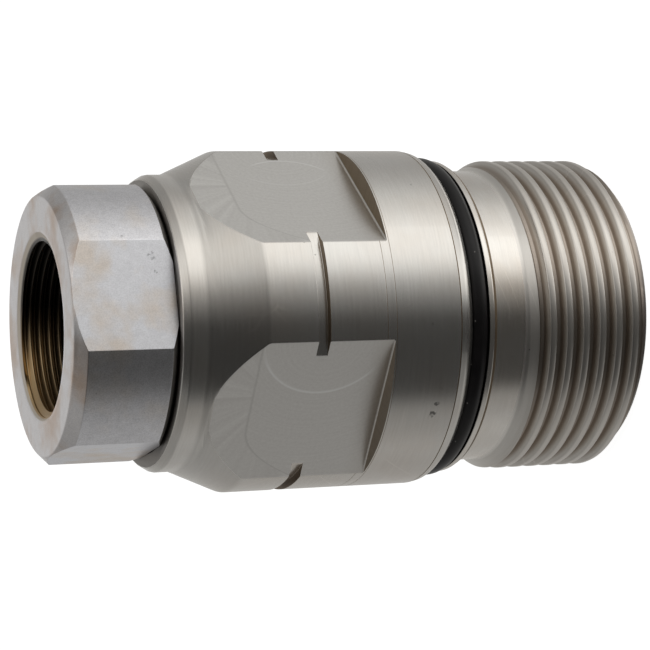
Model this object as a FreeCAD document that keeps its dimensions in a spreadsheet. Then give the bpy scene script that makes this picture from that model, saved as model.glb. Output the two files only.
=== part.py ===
import FreeCAD, Part
import math
import os
import Sketcher
from FreeCAD import Placement, Rotation, Vector

# Screw-to-connect coupler, the half with the outside thread, in millimetres.
# The axis is +Z. The threaded end stands on z = 0 and the octagonal hose end is on top.
# An outer sleeve turns freely on an inner core. The core holds a spring-loaded flat-face
# poppet, and the poppet holds a small relief pin that lets trapped pressure out first.

os.makedirs("parts", exist_ok=True)
doc = FreeCAD.newDocument("coupler_half")

# Driving dimensions
SIZES = {
    # outside of the sleeve, from the threaded end upwards
    "thread_wall": 4.2,
    "thread_pitch": 4.233,
    "thread_depth": 2.2,
    "thread_root_w": 1.0,
    "thread_mouth_w": 2.7,
    "thread_start": 5.13,
    "end_chamfer": 3.2,
    "thread_len": 27.9,
    "runout_len": 3.0,
    "neck_relief": 0.2,
    "neck_len": 8.8,
    "land_rise": 2.5,
    "land_w": 2.1,
    "ring_groove_w": 4.6,
    "ring_groove_drop": 1.2,
    "shoulder_len": 3.3,
    "shoulder_rise": 0.6,
    "shoulder_bend_up": 1.5,
    "shoulder_bend_drop": 0.4,
    "body_r": 39.9,
    "body_len": 46.0,
    "cone_len": 12.2,
    "collar_len": 4.0,
    "lip_len": 1.75,
    "lip_bevel": 1.1,
    "mark_groove_up": 31.8,
    "mark_groove_w": 2.75,
    "mark_groove_depth": 1.7,
    "flats_af": 70.0,
    "flats_up": 16.3,
    "flats_fillet": 0.45,
    "flats_turn": 54.2,
    # inside of the sleeve
    "socket_r": 31.0,
    "socket_chamfer": 0.8,
    "end_bore_gap": 0.25,
    "collar_wall": 4.3,
    "recess_depth": 10.15,
    "bearing_len": 15.5,
    "flange_t": 8.0,
    # clearances
    "running_gap": 0.05,
    "axial_play": 0.05,
    "seal_gap": 0.03,
    "guide_gap": 0.8,
    "seat_gap": 0.08,
    # hose end
    "octagon_af": 60.0,
    "octagon_len": 23.6,
    "octagon_turn": 12.5,
    "octagon_gap": 0.15,
    "octagon_front": 2.8,
    "octagon_rear": 1.7,
    "octagon_rear_over": 0.8,
    "port_r": 19.5,
    "port_depth": 24.0,
    "port_chamfer": 2.1,
    "passage_r": 15.5,
    "passage_len": 2.0,
    "passage_taper": 6.5,
    "skirt_wall": 4.35,
    "adapter_relief": 0.55,
    "adapter_land_drop": 0.5,
    "spigot_len": 14.0,
    "spigot_relief": 0.6,
    # core
    "core_neck_r": 26.6,
    "spigot_step": 1.0,
    "spigot_wall": 3.0,
    "washer_t": 1.95,
    "washer_lip": 0.3,
    "face_recess": 0.5,
    "nose_r": 26.0,
    "nose_len": 35.5,
    "nose_chamfer": 1.5,
    "guide_ledge": 1.0,
    "seat_lip_len": 4.5,
    "wear_ring_drop": 12.0,
    "wear_ring_w": 9.7,
    "wear_ring_t": 2.4,
    "dust_groove_drop": 3.2,
    "dust_ring_d": 1.5,
    "body_ring_d": 2.2,
    "body_ring_up": 2.4,
    "backup_t": 1.4,
    # poppet guide
    "guide_drop": 14.0,
    "guide_t": 7.0,
    "guide_rim_t": 2.0,
    "guide_hub_r": 15.6,
    "guide_hub_t": 10.0,
    "guide_window_deg": 66.0,
    "bush_r": 10.0,
    "snap_t": 1.75,
    "snap_grip": 1.3,
    "snap_w": 3.2,
    "snap_open_deg": 34.0,
    "snap_ear_r": 2.3,
    "snap_hole_r": 1.1,
    # poppet
    "cap_r": 15.5,
    "cap_t": 5.9,
    "stud_r": 9.0,
    "stud_len": 11.6,
    "poppet_seal_t": 3.0,
    "poppet_seal_bite": 2.5,
    "poppet_seal_over": 2.7,
    "poppet_flange_over": 1.5,
    "poppet_flange_t": 3.0,
    "poppet_boss_r": 11.4,
    "poppet_boss_len": 5.6,
    "poppet_taper": 4.0,
    "stem_r": 8.0,
    "stem_over": 4.0,
    "spring_bore_r": 5.0,
    "spring_bore_end": 38.0,
    "cross_hole_r": 1.6,
    "cross_hole_up": 26.0,
    "main_wire_d": 3.0,
    "main_coil_r": 13.4,
    "main_turns": 6.0,
    "wire_sides": 12,
    "spring_seat_t": 1.2,
    # relief pin
    "pin_r": 4.0,
    "pin_len": 3.5,
    "pin_seat_up": 2.5,
    "pin_seat_r": 6.0,
    "pin_groove_r": 3.65,
    "pin_groove_w": 1.8,
    "pin_flange_r": 5.3,
    "pin_flange_t": 2.2,
    "pin_stem_r": 2.2,
    "pin_stem_len": 24.0,
    "pin_ring_d": 1.76,
    "relief_wire_d": 1.1,
    "relief_coil_r": 3.7,
    "relief_turns": 9.0,
}


def make_sheet():
    """Puts every driving dimension in one sheet, with its name as the cell's alias."""
    made = doc.addObject("Spreadsheet::Sheet", "dims")
    for row, (name, size) in enumerate(SIZES.items(), start=1):
        made.set(f"A{row}", name)
        made.set(f"B{row}", str(size))
        made.setAlias(f"B{row}", name)
    doc.recompute()
    return made


sheet = make_sheet()


def d(name):
    """The expression that reads one cell of the sheet."""
    assert name in SIZES, name
    return f"dims.{name}"


def total(*terms):
    """The expression that adds its terms. A term with a leading minus is taken away."""
    return "(" + " + ".join(terms).replace("+ -", "- ") + ")"


def value(expression):
    """What an expression is worth now, in millimetres or degrees."""
    return float(sheet.evalExpression(expression))


# Stations along Z, each worked out from the driving dimensions
NECK_Z = total(d("thread_len"), d("runout_len"))
LAND_Z = total(NECK_Z, d("neck_len"))
RING_GROOVE_Z = total(LAND_Z, d("land_w"))
SHOULDER_Z = total(RING_GROOVE_Z, d("ring_groove_w"))
BODY_Z = total(SHOULDER_Z, d("shoulder_len"))
CONE_Z = total(BODY_Z, d("body_len"))
COLLAR_Z = total(CONE_Z, d("cone_len"))
LIP_Z = total(COLLAR_Z, d("collar_len"))
SLEEVE_TOP = total(LIP_Z, d("lip_len"))
MARK_GROOVE_Z = total(BODY_Z, d("mark_groove_up"))
FLATS_Z = total(BODY_Z, d("flats_up"))
RECESS_Z = total(SLEEVE_TOP, "-" + d("recess_depth"))
FLANGE_TOP = total(RECESS_Z, "-" + d("bearing_len"))
FLANGE_Z = total(FLANGE_TOP, "-" + d("flange_t"))
OCTAGON_Z = total(SLEEVE_TOP, d("octagon_gap"))
TOP_Z = total(OCTAGON_Z, d("octagon_len"))
PORT_Z = total(TOP_Z, "-" + d("port_depth"))
UPPER_WASHER_Z = total(FLANGE_TOP, d("axial_play"))
ADAPTER_Z = total(UPPER_WASHER_Z, d("washer_t"))
ADAPTER_LAND_TOP = total(RECESS_Z, "-" + d("adapter_land_drop"))
CORE_SHOULDER_Z = total(FLANGE_Z, "-" + d("axial_play"), "-" + d("washer_t"))
SPIGOT_TOP = total(ADAPTER_Z, d("spigot_len"))
GUIDE_Z = total(FLANGE_Z, "-" + d("guide_drop"))
SNAP_Z = total(GUIDE_Z, d("guide_t"), d("seal_gap"))
HUB_Z = total(GUIDE_Z, d("guide_t"), "-" + d("guide_hub_t"))
FACE_Z = d("face_recess")
CAP_TOP = total(FACE_Z, d("cap_t"))
SEAL_TOP = total(CAP_TOP, d("poppet_seal_t"))
SPRING_Z = total(SEAL_TOP, d("poppet_flange_t"))
SPRING_TOP = total(HUB_Z, "-" + d("spring_seat_t"))
STEM_TOP = total(GUIDE_Z, d("guide_t"), d("stem_over"))
SEAT_Z = total(FACE_Z, d("seat_lip_len"))
STUD_TOP = total(CAP_TOP, d("stud_len"))
PIN_SEAT_Z = total(FACE_Z, d("pin_seat_up"))
PIN_NECK_Z = total(FACE_Z, d("pin_len"))
PIN_FLANGE_Z = total(PIN_NECK_Z, d("pin_groove_w"))
PIN_STEM_Z = total(PIN_FLANGE_Z, d("pin_flange_t"))

# Radii of the thread and the neck, counted outwards from the socket inside them
ROOT_R = total(d("socket_r"), d("thread_wall"))
CREST_R = total(ROOT_R, d("thread_depth"))
NECK_R = total(ROOT_R, "-" + d("neck_relief"))
LAND_R = total(NECK_R, d("land_rise"))
RING_ROOT_R = total(NECK_R, "-" + d("ring_groove_drop"))

# Radii of the core, counted from its neck, which carries everything that swivels
SPIGOT_R = total(d("core_neck_r"), "-" + d("spigot_step"))
ADAPTER_LAND_R = total(SPIGOT_R, d("skirt_wall"))
ADAPTER_NECK_R = total(ADAPTER_LAND_R, "-" + d("adapter_relief"))
COUNTERBORE_R = total(SPIGOT_R, "-" + d("spigot_wall"))
CHAMBER_R = total(COUNTERBORE_R, "-" + d("guide_ledge"))
SNAP_OUT_R = total(COUNTERBORE_R, d("snap_grip"))
SNAP_IN_R = total(SNAP_OUT_R, "-" + d("snap_w"))

# Radii that follow from a fit
FLANGE_BORE = total(d("core_neck_r"), d("running_gap"))
BEARING_BORE = total(ADAPTER_LAND_R, d("running_gap"))
END_BORE = total(ADAPTER_LAND_R, d("end_bore_gap"))
COLLAR_R = total(END_BORE, d("collar_wall"))
GUIDE_OD = total(d("socket_r"), "-" + d("guide_gap"))
LIP_BORE = total(d("cap_r"), d("running_gap"))
SEAL_IN_R = total(d("cap_r"), "-" + d("poppet_seal_bite"))
SEAL_OUT_R = total(d("cap_r"), d("poppet_seal_over"))
POPPET_FLANGE_R = total(d("cap_r"), d("poppet_flange_over"))
STEM_BORE = total(d("stem_r"), d("running_gap"))
PIN_BORE = total(d("pin_r"), d("running_gap"))


def origin_plane(body, role):
    """One of a body's own origin planes."""
    return next(f for f in body.Origin.OriginFeatures if f.Role == role)


def new_sketch(body, name, role="XZ_Plane"):
    """A sketch on one of the body's origin planes."""
    sketch = body.newObject("Sketcher::SketchObject", name)
    sketch.AttachmentSupport = [(origin_plane(body, role), "")]
    sketch.MapMode = "FlatFace"
    return sketch


def add_outline(sketch, corners):
    """A closed outline of straight lines. Each corner is a pair of expressions, and each is bound."""
    points = [Vector(value(x), value(y), 0) for x, y in corners]
    first = sketch.GeometryCount
    for start, end in zip(points, points[1:] + points[:1]):
        sketch.addGeometry(Part.LineSegment(start, end), False)
    count = len(points)
    for i in range(count):
        after = first + (i + 1) % count
        sketch.addConstraint(Sketcher.Constraint("Coincident", first + i, 2, after, 1))
    for i, (x, y) in enumerate(corners):
        for kind, expression, axis in (("DistanceX", x, -2), ("DistanceY", y, -1)):
            if expression == "0":
                sketch.addConstraint(Sketcher.Constraint("PointOnObject", first + i, 1, axis))
                continue
            rule = Sketcher.Constraint(kind, -1, 1, first + i, 1, value(expression))
            index = sketch.addConstraint(rule)
            sketch.setExpression(f"Constraints[{index}]", expression)
    return sketch


def turned(label, corners):
    """A body turned on a lathe: an outline of radius and height, revolved about Z."""
    body = doc.addObject("PartDesign::Body", label)
    body.Label = label
    sketch = add_outline(new_sketch(body, label + "_outline"), corners)
    turn = body.newObject("PartDesign::Revolution", label + "_turned")
    turn.Profile = sketch
    turn.ReferenceAxis = (sketch, ["V_Axis"])
    turn.Angle = 360
    sketch.Visibility = False
    doc.recompute()
    return body


def mill_sides(body, sides, across_flats, turn, bottom, top):
    """Mills flats on a turned body, from bottom to top, by cutting away what lies outside a polygon."""
    before = body.Shape.Volume
    sketch = new_sketch(body, body.Label + "_flats_outline", "XY_Plane")
    sketch.AttachmentOffset = Placement(
        Vector(0, 0, value(bottom)), Rotation(Vector(0, 0, 1), value(turn))
    )
    sketch.setExpression("AttachmentOffset.Base.z", bottom)
    sketch.setExpression("AttachmentOffset.Rotation.Angle", turn)
    step = 360 / sides
    reach = f"{across_flats} / 2 / cos({step / 2} deg)"
    outer_r = total(reach, "1")
    corners = []
    for k in range(sides):
        angle = (k + 0.5) * step
        corners.append((f"{reach} * cos({angle} deg)", f"{reach} * sin({angle} deg)"))
    add_outline(sketch, corners)
    ring = sketch.addGeometry(
        Part.Circle(Vector(0, 0, 0), Vector(0, 0, 1), value(outer_r)), False
    )
    sketch.addConstraint(Sketcher.Constraint("Coincident", ring, 3, -1, 1))
    index = sketch.addConstraint(Sketcher.Constraint("Radius", ring, value(outer_r)))
    sketch.setExpression(f"Constraints[{index}]", outer_r)
    pocket = body.newObject("PartDesign::Pocket", body.Label + "_flats")
    pocket.Profile = sketch
    pocket.Type = "Length"
    pocket.Length = value(total(top, "-" + bottom))
    pocket.setExpression("Length", total(top, "-" + bottom))
    pocket.Reversed = True
    sketch.Visibility = False
    doc.recompute()
    assert body.Shape.Volume < before - 1, body.Label + ": the flats cut nothing"
    return pocket


def round_flat_ends(body):
    """Rounds the corner that the cutter leaves where each flat of the sleeve meets its end wall.
    The wall is at its highest in the middle of the flat, and the radius stays well under that."""
    wall = f"({d('body_r')} - {d('flats_af')} / 2)"
    level = value(FLATS_Z)
    reach = value(d("flats_af")) / 2
    names = []
    for number, edge in enumerate(body.Shape.Edges, start=1):
        box = edge.BoundBox
        middle = edge.valueAt((edge.FirstParameter + edge.LastParameter) / 2)
        flat = abs(box.ZMin - level) < 0.01 and abs(box.ZMax - level) < 0.01
        if flat and abs(math.hypot(middle.x, middle.y) - reach) < 0.01:
            names.append(f"Edge{number}")
    assert len(names) == 4, f"{len(names)} corners at the ends of the flats"
    milled = body.Tip
    fillet = body.newObject("PartDesign::Fillet", "flat_ends")
    fillet.Base = (milled, names)
    fillet.setExpression("Radius", f"min({d('flats_fillet')}; {wall} / 3)")
    doc.recompute()
    return fillet


def cut_thread(body):
    """Cuts the coarse right-hand thread: one helical groove, open at the end, that stops at the neck."""
    before = body.Shape.Volume
    over = "1"
    outer = total(CREST_R, over)
    flare = f"({d('thread_mouth_w')} - {d('thread_root_w')}) / {d('thread_depth')}"
    wide = f"({d('thread_mouth_w')} + {flare} * {over})"
    start = f"(0 - {d('thread_start')})"
    sketch = new_sketch(body, "thread_outline")
    add_outline(
        sketch,
        [
            (ROOT_R, f"{start} - {d('thread_root_w')} / 2"),
            (outer, f"{start} - {wide} / 2"),
            (outer, f"{start} + {wide} / 2"),
            (ROOT_R, f"{start} + {d('thread_root_w')} / 2"),
        ],
    )
    helix = body.newObject("PartDesign::SubtractiveHelix", "coarse_thread")
    helix.Profile = sketch
    helix.ReferenceAxis = (sketch, ["V_Axis"])
    helix.Mode = "pitch-height-angle"
    helix.setExpression("Pitch", d("thread_pitch"))
    helix.setExpression("Height", total(d("thread_len"), d("thread_start")))
    helix.LeftHanded = False
    sketch.Visibility = False
    doc.recompute()
    assert body.Shape.Volume < before - 1, "the thread cut nothing"
    return helix


def threaded_sleeve():
    """The outer sleeve: coarse thread, O-ring groove, body with four flats, cone and rear lip."""
    lip_r = total(COLLAR_R, "-" + d("lip_bevel"))
    mark_r = total(d("body_r"), "-" + d("mark_groove_depth"))
    mark_top = total(MARK_GROOVE_Z, d("mark_groove_w"))
    bend_r = total(d("body_r"), "-" + d("shoulder_bend_drop"))
    body = turned(
        "threaded_sleeve",
        [
            (total(d("socket_r"), d("socket_chamfer")), "0"),
            (total(CREST_R, "-" + d("end_chamfer")), "0"),
            (CREST_R, d("end_chamfer")),
            (CREST_R, d("thread_len")),
            (NECK_R, NECK_Z),
            (NECK_R, LAND_Z),
            (LAND_R, LAND_Z),
            (LAND_R, RING_GROOVE_Z),
            (RING_ROOT_R, RING_GROOVE_Z),
            (RING_ROOT_R, SHOULDER_Z),
            (total(LAND_R, d("shoulder_rise")), SHOULDER_Z),
            (bend_r, total(SHOULDER_Z, d("shoulder_bend_up"))),
            (d("body_r"), BODY_Z),
            (d("body_r"), MARK_GROOVE_Z),
            (mark_r, MARK_GROOVE_Z),
            (mark_r, mark_top),
            (d("body_r"), mark_top),
            (d("body_r"), CONE_Z),
            (COLLAR_R, COLLAR_Z),
            (COLLAR_R, LIP_Z),
            (lip_r, SLEEVE_TOP),
            (END_BORE, SLEEVE_TOP),
            (END_BORE, RECESS_Z),
            (BEARING_BORE, RECESS_Z),
            (BEARING_BORE, FLANGE_TOP),
            (FLANGE_BORE, FLANGE_TOP),
            (FLANGE_BORE, FLANGE_Z),
            (d("socket_r"), FLANGE_Z),
            (d("socket_r"), d("socket_chamfer")),
        ],
    )
    mill_sides(body, 4, d("flats_af"), d("flats_turn"), FLATS_Z, SLEEVE_TOP)
    round_flat_ends(body)
    cut_thread(body)
    return body


def ring_of(label, radius, section_r, height):
    """An O-ring: a torus at its seat."""
    ring = doc.addObject("Part::Torus", label)
    ring.Label = label
    ring.setExpression("Radius1", radius)
    ring.setExpression("Radius2", section_r)
    ring.setExpression("Placement.Base.z", height)
    return ring


def band(label, inner_r, outer_r, bottom, top):
    """A plain ring of rectangular section."""
    return turned(
        label, [(inner_r, bottom), (outer_r, bottom), (outer_r, top), (inner_r, top)]
    )


def collar_seal():
    """The black O-ring in the groove beside the shoulder."""
    section = f"({d('ring_groove_w')} / 2 - {d('seal_gap')} * 3)"
    radius = total(RING_ROOT_R, section, d("seal_gap"))
    middle = total(RING_GROOVE_Z, f"{d('ring_groove_w')} / 2")
    return ring_of("collar_seal", radius, section, middle)


def port_adapter():
    """The hose end: octagon with a threaded port, neck, bearing land and the skirt on the core's spigot."""
    corner_r = f"({d('octagon_af')} / 2 / cos(22.5 deg))"
    front_r = total(d("octagon_af") + " / 2", "-0.15")
    front_z = total(TOP_Z, "-" + d("octagon_front"))
    rear_z = total(OCTAGON_Z, d("octagon_rear"))
    rear_r = total(d("octagon_af") + " / 2", d("octagon_rear_over"))
    dust_z = total(ADAPTER_LAND_TOP, "-" + d("dust_groove_drop"))
    dust_w = f"{d('dust_ring_d')} * 1.2"
    dust_r = total(ADAPTER_LAND_R, "-" + d("dust_ring_d"))
    ring_z = total(ADAPTER_Z, d("body_ring_up"))
    ring_top = total(ring_z, d("body_ring_d"), d("backup_t"), d("seal_gap") + " * 4")
    ring_r = total(SPIGOT_R, d("body_ring_d"), d("seal_gap") + " * 2")
    skirt_top = total(SPIGOT_TOP, d("spigot_relief"))
    taper_z = total(PORT_Z, "-" + d("passage_len"))
    body = turned(
        "port_adapter",
        [
            (SPIGOT_R, ADAPTER_Z),
            (ADAPTER_LAND_R, ADAPTER_Z),
            (ADAPTER_LAND_R, dust_z),
            (dust_r, dust_z),
            (dust_r, total(dust_z, dust_w)),
            (ADAPTER_LAND_R, total(dust_z, dust_w)),
            (ADAPTER_LAND_R, ADAPTER_LAND_TOP),
            (ADAPTER_NECK_R, ADAPTER_LAND_TOP),
            (ADAPTER_NECK_R, OCTAGON_Z),
            (rear_r, OCTAGON_Z),
            (corner_r, rear_z),
            (corner_r, front_z),
            (front_r, TOP_Z),
            (total(d("port_r"), d("port_chamfer")), TOP_Z),
            (d("port_r"), total(TOP_Z, "-" + d("port_chamfer"))),
            (d("port_r"), PORT_Z),
            (d("passage_r"), PORT_Z),
            (d("passage_r"), taper_z),
            (COUNTERBORE_R, skirt_top),
            (SPIGOT_R, skirt_top),
            (SPIGOT_R, ring_top),
            (ring_r, ring_top),
            (ring_r, ring_z),
            (SPIGOT_R, ring_z),
        ],
    )
    mill_sides(body, 8, d("octagon_af"), d("octagon_turn"), OCTAGON_Z, TOP_Z)
    return body


def valve_body():
    """The inner body: flat nose with the poppet's seat, flow chamber, neck through the sleeve and spigot."""
    nose_top = total(FACE_Z, d("nose_len"))
    step = total(GUIDE_OD, "-" + d("nose_r"))
    wear_top = total(CORE_SHOULDER_Z, "-" + d("wear_ring_drop"))
    wear_z = total(wear_top, "-" + d("wear_ring_w"))
    wear_r = total(d("socket_r"), "-" + d("running_gap"), "-" + d("wear_ring_t"))
    snap_top = total(SNAP_Z, d("snap_t"), d("seal_gap"))
    groove_r = total(SNAP_OUT_R, d("seal_gap"))
    return turned(
        "valve_body",
        [
            (LIP_BORE, FACE_Z),
            (total(d("nose_r"), "-" + d("nose_chamfer")), FACE_Z),
            (d("nose_r"), total(FACE_Z, d("nose_chamfer"))),
            (d("nose_r"), total(nose_top, "-" + step)),
            (GUIDE_OD, nose_top),
            (GUIDE_OD, wear_z),
            (wear_r, wear_z),
            (wear_r, wear_top),
            (GUIDE_OD, wear_top),
            (GUIDE_OD, CORE_SHOULDER_Z),
            (d("core_neck_r"), CORE_SHOULDER_Z),
            (d("core_neck_r"), ADAPTER_Z),
            (SPIGOT_R, ADAPTER_Z),
            (SPIGOT_R, SPIGOT_TOP),
            (COUNTERBORE_R, SPIGOT_TOP),
            (COUNTERBORE_R, snap_top),
            (groove_r, snap_top),
            (groove_r, total(GUIDE_Z, d("guide_t"))),
            (COUNTERBORE_R, total(GUIDE_Z, d("guide_t"))),
            (COUNTERBORE_R, GUIDE_Z),
            (CHAMBER_R, GUIDE_Z),
            (CHAMBER_R, total(SEAT_Z, CHAMBER_R, "-" + LIP_BORE)),
            (LIP_BORE, SEAT_Z),
        ],
    )


def body_seal():
    """The O-ring that seals the adapter on the spigot."""
    section = d("body_ring_d") + " / 2"
    middle = total(ADAPTER_Z, d("body_ring_up"), section, d("seal_gap"))
    return ring_of(
        "body_seal", total(SPIGOT_R, section, d("seal_gap")), section, middle
    )


def body_backup_ring():
    """The flat ring that stops the O-ring from being squeezed out."""
    bottom = total(ADAPTER_Z, d("body_ring_up"), d("body_ring_d"), d("seal_gap") + " * 3")
    outer = total(SPIGOT_R, d("body_ring_d"), d("seal_gap"))
    inner = total(SPIGOT_R, d("seal_gap"))
    return band("body_backup_ring", inner, outer, bottom, total(bottom, d("backup_t")))


def upper_thrust_washer():
    """The bearing washer between the sleeve's flange and the adapter."""
    inner = total(d("core_neck_r"), d("running_gap"))
    outer = total(ADAPTER_LAND_R, "-" + d("washer_lip"))
    return band("upper_thrust_washer", inner, outer, UPPER_WASHER_Z, ADAPTER_Z)


def lower_thrust_washer():
    """The bearing washer that takes the pull of the screwed joint."""
    inner = total(d("core_neck_r"), d("running_gap"))
    outer = total(GUIDE_OD, "-" + d("washer_lip"))
    top = total(CORE_SHOULDER_Z, d("washer_t"))
    return band("lower_thrust_washer", inner, outer, CORE_SHOULDER_Z, top)


def sleeve_wear_ring():
    """The strip that centres the core in the sleeve's long bore."""
    top = total(CORE_SHOULDER_Z, "-" + d("wear_ring_drop"), "-" + d("seal_gap"))
    bottom = total(top, "-" + d("wear_ring_w"), d("seal_gap") + " * 2")
    outer = total(d("socket_r"), "-" + d("running_gap"))
    inner = total(outer, "-" + d("wear_ring_t"), d("seal_gap"))
    return band("sleeve_wear_ring", inner, outer, bottom, top)


def dust_seal():
    """The thin O-ring that keeps dirt out of the swivel."""
    section = d("dust_ring_d") + " / 2"
    radius = total(ADAPTER_LAND_R, "-" + section, "-0.02")
    groove = f"{d('dust_ring_d')} * 1.2 / 2"
    middle = total(ADAPTER_LAND_TOP, "-" + d("dust_groove_drop"), groove)
    return ring_of("dust_seal", radius, total(section, "-0.02"), middle)


def part_cylinder(name, radius, height, bottom, degrees="360", turn="0"):
    """A cylinder about Z, or a wedge of one when degrees is under a full turn."""
    made = doc.addObject("Part::Cylinder", name)
    made.Placement = Placement(Vector(0, 0, value(bottom)), Rotation(Vector(0, 0, 1), value(turn)))
    made.setExpression("Radius", radius)
    made.setExpression("Height", height)
    made.setExpression("Angle", degrees)
    made.setExpression("Placement.Base.z", bottom)
    return made


def boolean(kind, label, base, tool):
    """A cut or a common of two shapes."""
    made = doc.addObject(kind, label)
    made.Label = label
    made.Base = base
    made.Tool = tool
    return made


def joined(label, shapes):
    """Several shapes fused into one."""
    made = doc.addObject("Part::MultiFuse", label)
    made.Label = label
    made.Shapes = shapes
    return made


def poppet_guide():
    """The guide: a rim, a hub for the bush and four kidney windows for the flow."""
    hub_bore = d("bush_r")
    rim_r = total(COUNTERBORE_R, "-" + d("seal_gap"))
    top = total(GUIDE_Z, d("guide_t"))
    blank = turned(
        "guide_blank",
        [
            (hub_bore, HUB_Z),
            (d("guide_hub_r"), HUB_Z),
            (d("guide_hub_r"), GUIDE_Z),
            (rim_r, GUIDE_Z),
            (rim_r, top),
            (hub_bore, top),
        ],
    )
    outer_r = total(COUNTERBORE_R, "-" + d("guide_rim_t"))
    height = total(d("guide_t"), "2")
    bottom = total(GUIDE_Z, "-1")
    windows = []
    for k in range(4):
        turn = f"({k * 90} - {d('guide_window_deg')} / 2)"
        fan = part_cylinder(
            f"window_fan_{k}", outer_r, height, bottom, d("guide_window_deg"), turn
        )
        core = part_cylinder(f"window_core_{k}", d("guide_hub_r"), height, bottom)
        windows.append(boolean("Part::Cut", f"window_{k}", fan, core))
    return boolean("Part::Cut", "poppet_guide", blank, joined("windows", windows))


def guide_bush():
    """The bronze bush that the poppet's stem slides in."""
    top = total(GUIDE_Z, d("guide_t"))
    return band("guide_bush", STEM_BORE, d("bush_r"), HUB_Z, top)


def snap_ring():
    """The internal snap ring that holds the guide: an open ring with two ears with plier holes."""
    sweep = f"(360 - {d('snap_open_deg')})"
    turn = f"({d('snap_open_deg')} / 2)"
    outer = part_cylinder("snap_outer", SNAP_OUT_R, d("snap_t"), SNAP_Z, sweep, turn)
    inner = part_cylinder("snap_inner", SNAP_IN_R, d("snap_t"), SNAP_Z)
    arc = boolean("Part::Cut", "snap_arc", outer, inner)
    ears = []
    holes = []
    reach = f"({SNAP_IN_R} + {d('snap_ear_r')} / 3)"
    lean = f"({d('snap_open_deg')} / 2 + 5.5)"
    for side, sign in (("left", "1"), ("right", "-1")):
        for radius, kind, found in (
            (d("snap_ear_r"), "ear", ears),
            (d("snap_hole_r"), "hole", holes),
        ):
            made = part_cylinder(f"snap_{kind}_{side}", radius, d("snap_t"), SNAP_Z)
            made.setExpression("Placement.Base.x", f"{reach} * cos({lean} * 1 deg)")
            made.setExpression("Placement.Base.y", f"{sign} * {reach} * sin({lean} * 1 deg)")
            found.append(made)
    whole = joined("snap_blank", [arc] + ears)
    return boolean("Part::Cut", "snap_ring", whole, joined("snap_holes", holes))


def poppet():
    """The poppet: seal land, flange, spring boss, and a long stem bored for the relief spring."""
    boss_top = total(SPRING_Z, d("poppet_boss_len"))
    drill_tip = total(d("spring_bore_end"), d("spring_bore_r") + " * 0.6")
    body = turned(
        "poppet",
        [
            (d("stud_r"), CAP_TOP),
            (SEAL_IN_R, CAP_TOP),
            (SEAL_IN_R, SEAL_TOP),
            (POPPET_FLANGE_R, SEAL_TOP),
            (POPPET_FLANGE_R, SPRING_Z),
            (d("poppet_boss_r"), SPRING_Z),
            (d("poppet_boss_r"), boss_top),
            (d("stem_r"), total(boss_top, d("poppet_taper"))),
            (d("stem_r"), total(STEM_TOP, "-1")),
            (total(d("stem_r"), "-1"), STEM_TOP),
            ("0", STEM_TOP),
            ("0", drill_tip),
            (d("spring_bore_r"), d("spring_bore_end")),
            (d("spring_bore_r"), STUD_TOP),
            (d("stud_r"), STUD_TOP),
        ],
    )
    return drill_across(body)


def drill_across(body):
    """Drills the relief hole straight through the poppet's stem, along Y."""
    before = body.Shape.Volume
    sketch = new_sketch(body, "cross_hole_outline")
    centre = Vector(0, value(d("cross_hole_up")), 0)
    hole = sketch.addGeometry(Part.Circle(centre, Vector(0, 0, 1), value(d("cross_hole_r"))), False)
    sketch.addConstraint(Sketcher.Constraint("PointOnObject", hole, 3, -2))
    for rule, expression in (
        (Sketcher.Constraint("DistanceY", -1, 1, hole, 3, centre.y), d("cross_hole_up")),
        (Sketcher.Constraint("Radius", hole, value(d("cross_hole_r"))), d("cross_hole_r")),
    ):
        index = sketch.addConstraint(rule)
        sketch.setExpression(f"Constraints[{index}]", expression)
    pocket = body.newObject("PartDesign::Pocket", "cross_hole")
    pocket.Profile = sketch
    pocket.Type = "Length"
    pocket.setExpression("Length", d("poppet_boss_r") + " * 2.2")
    pocket.SideType = "Symmetric"
    sketch.Visibility = False
    doc.recompute()
    assert body.Shape.Volume < before - 1, "the cross hole cut nothing"
    return body


def poppet_cap():
    """The flat face of the poppet: a disc on a hollow stud, with the relief pin's seat inside."""
    seat_gap = d("seat_gap") + " * 1.5"
    edge_z = total(SEAT_Z, "-" + seat_gap)
    edge_r = total(d("cap_r"), CAP_TOP, "-" + edge_z, "-" + seat_gap)
    return turned(
        "poppet_cap",
        [
            (PIN_BORE, FACE_Z),
            (d("cap_r"), FACE_Z),
            (d("cap_r"), SEAT_Z),
            (edge_r, CAP_TOP),
            (d("stud_r"), CAP_TOP),
            (d("stud_r"), STUD_TOP),
            (d("pin_seat_r"), STUD_TOP),
            (d("pin_seat_r"), total(PIN_SEAT_Z, d("pin_seat_r"), "-" + PIN_BORE)),
            (PIN_BORE, PIN_SEAT_Z),
        ],
    )


def poppet_seal():
    """The moulded seal that closes on the nose's cone."""
    low_r = total(LIP_BORE, CAP_TOP, "-" + SEAT_Z, "-" + d("seat_gap") + " * 1.5")
    knee_z = total(CAP_TOP, SEAL_OUT_R, "-" + low_r)
    return turned(
        "poppet_seal",
        [
            (SEAL_IN_R, CAP_TOP),
            (low_r, CAP_TOP),
            (SEAL_OUT_R, knee_z),
            (SEAL_OUT_R, SEAL_TOP),
            (SEAL_IN_R, SEAL_TOP),
        ],
    )


def spring_seat():
    """The hard washer under the guide's hub that the main spring bears on."""
    inner = total(STEM_BORE, "1")
    return band("spring_seat", inner, d("guide_hub_r"), SPRING_TOP, HUB_Z)


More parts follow.
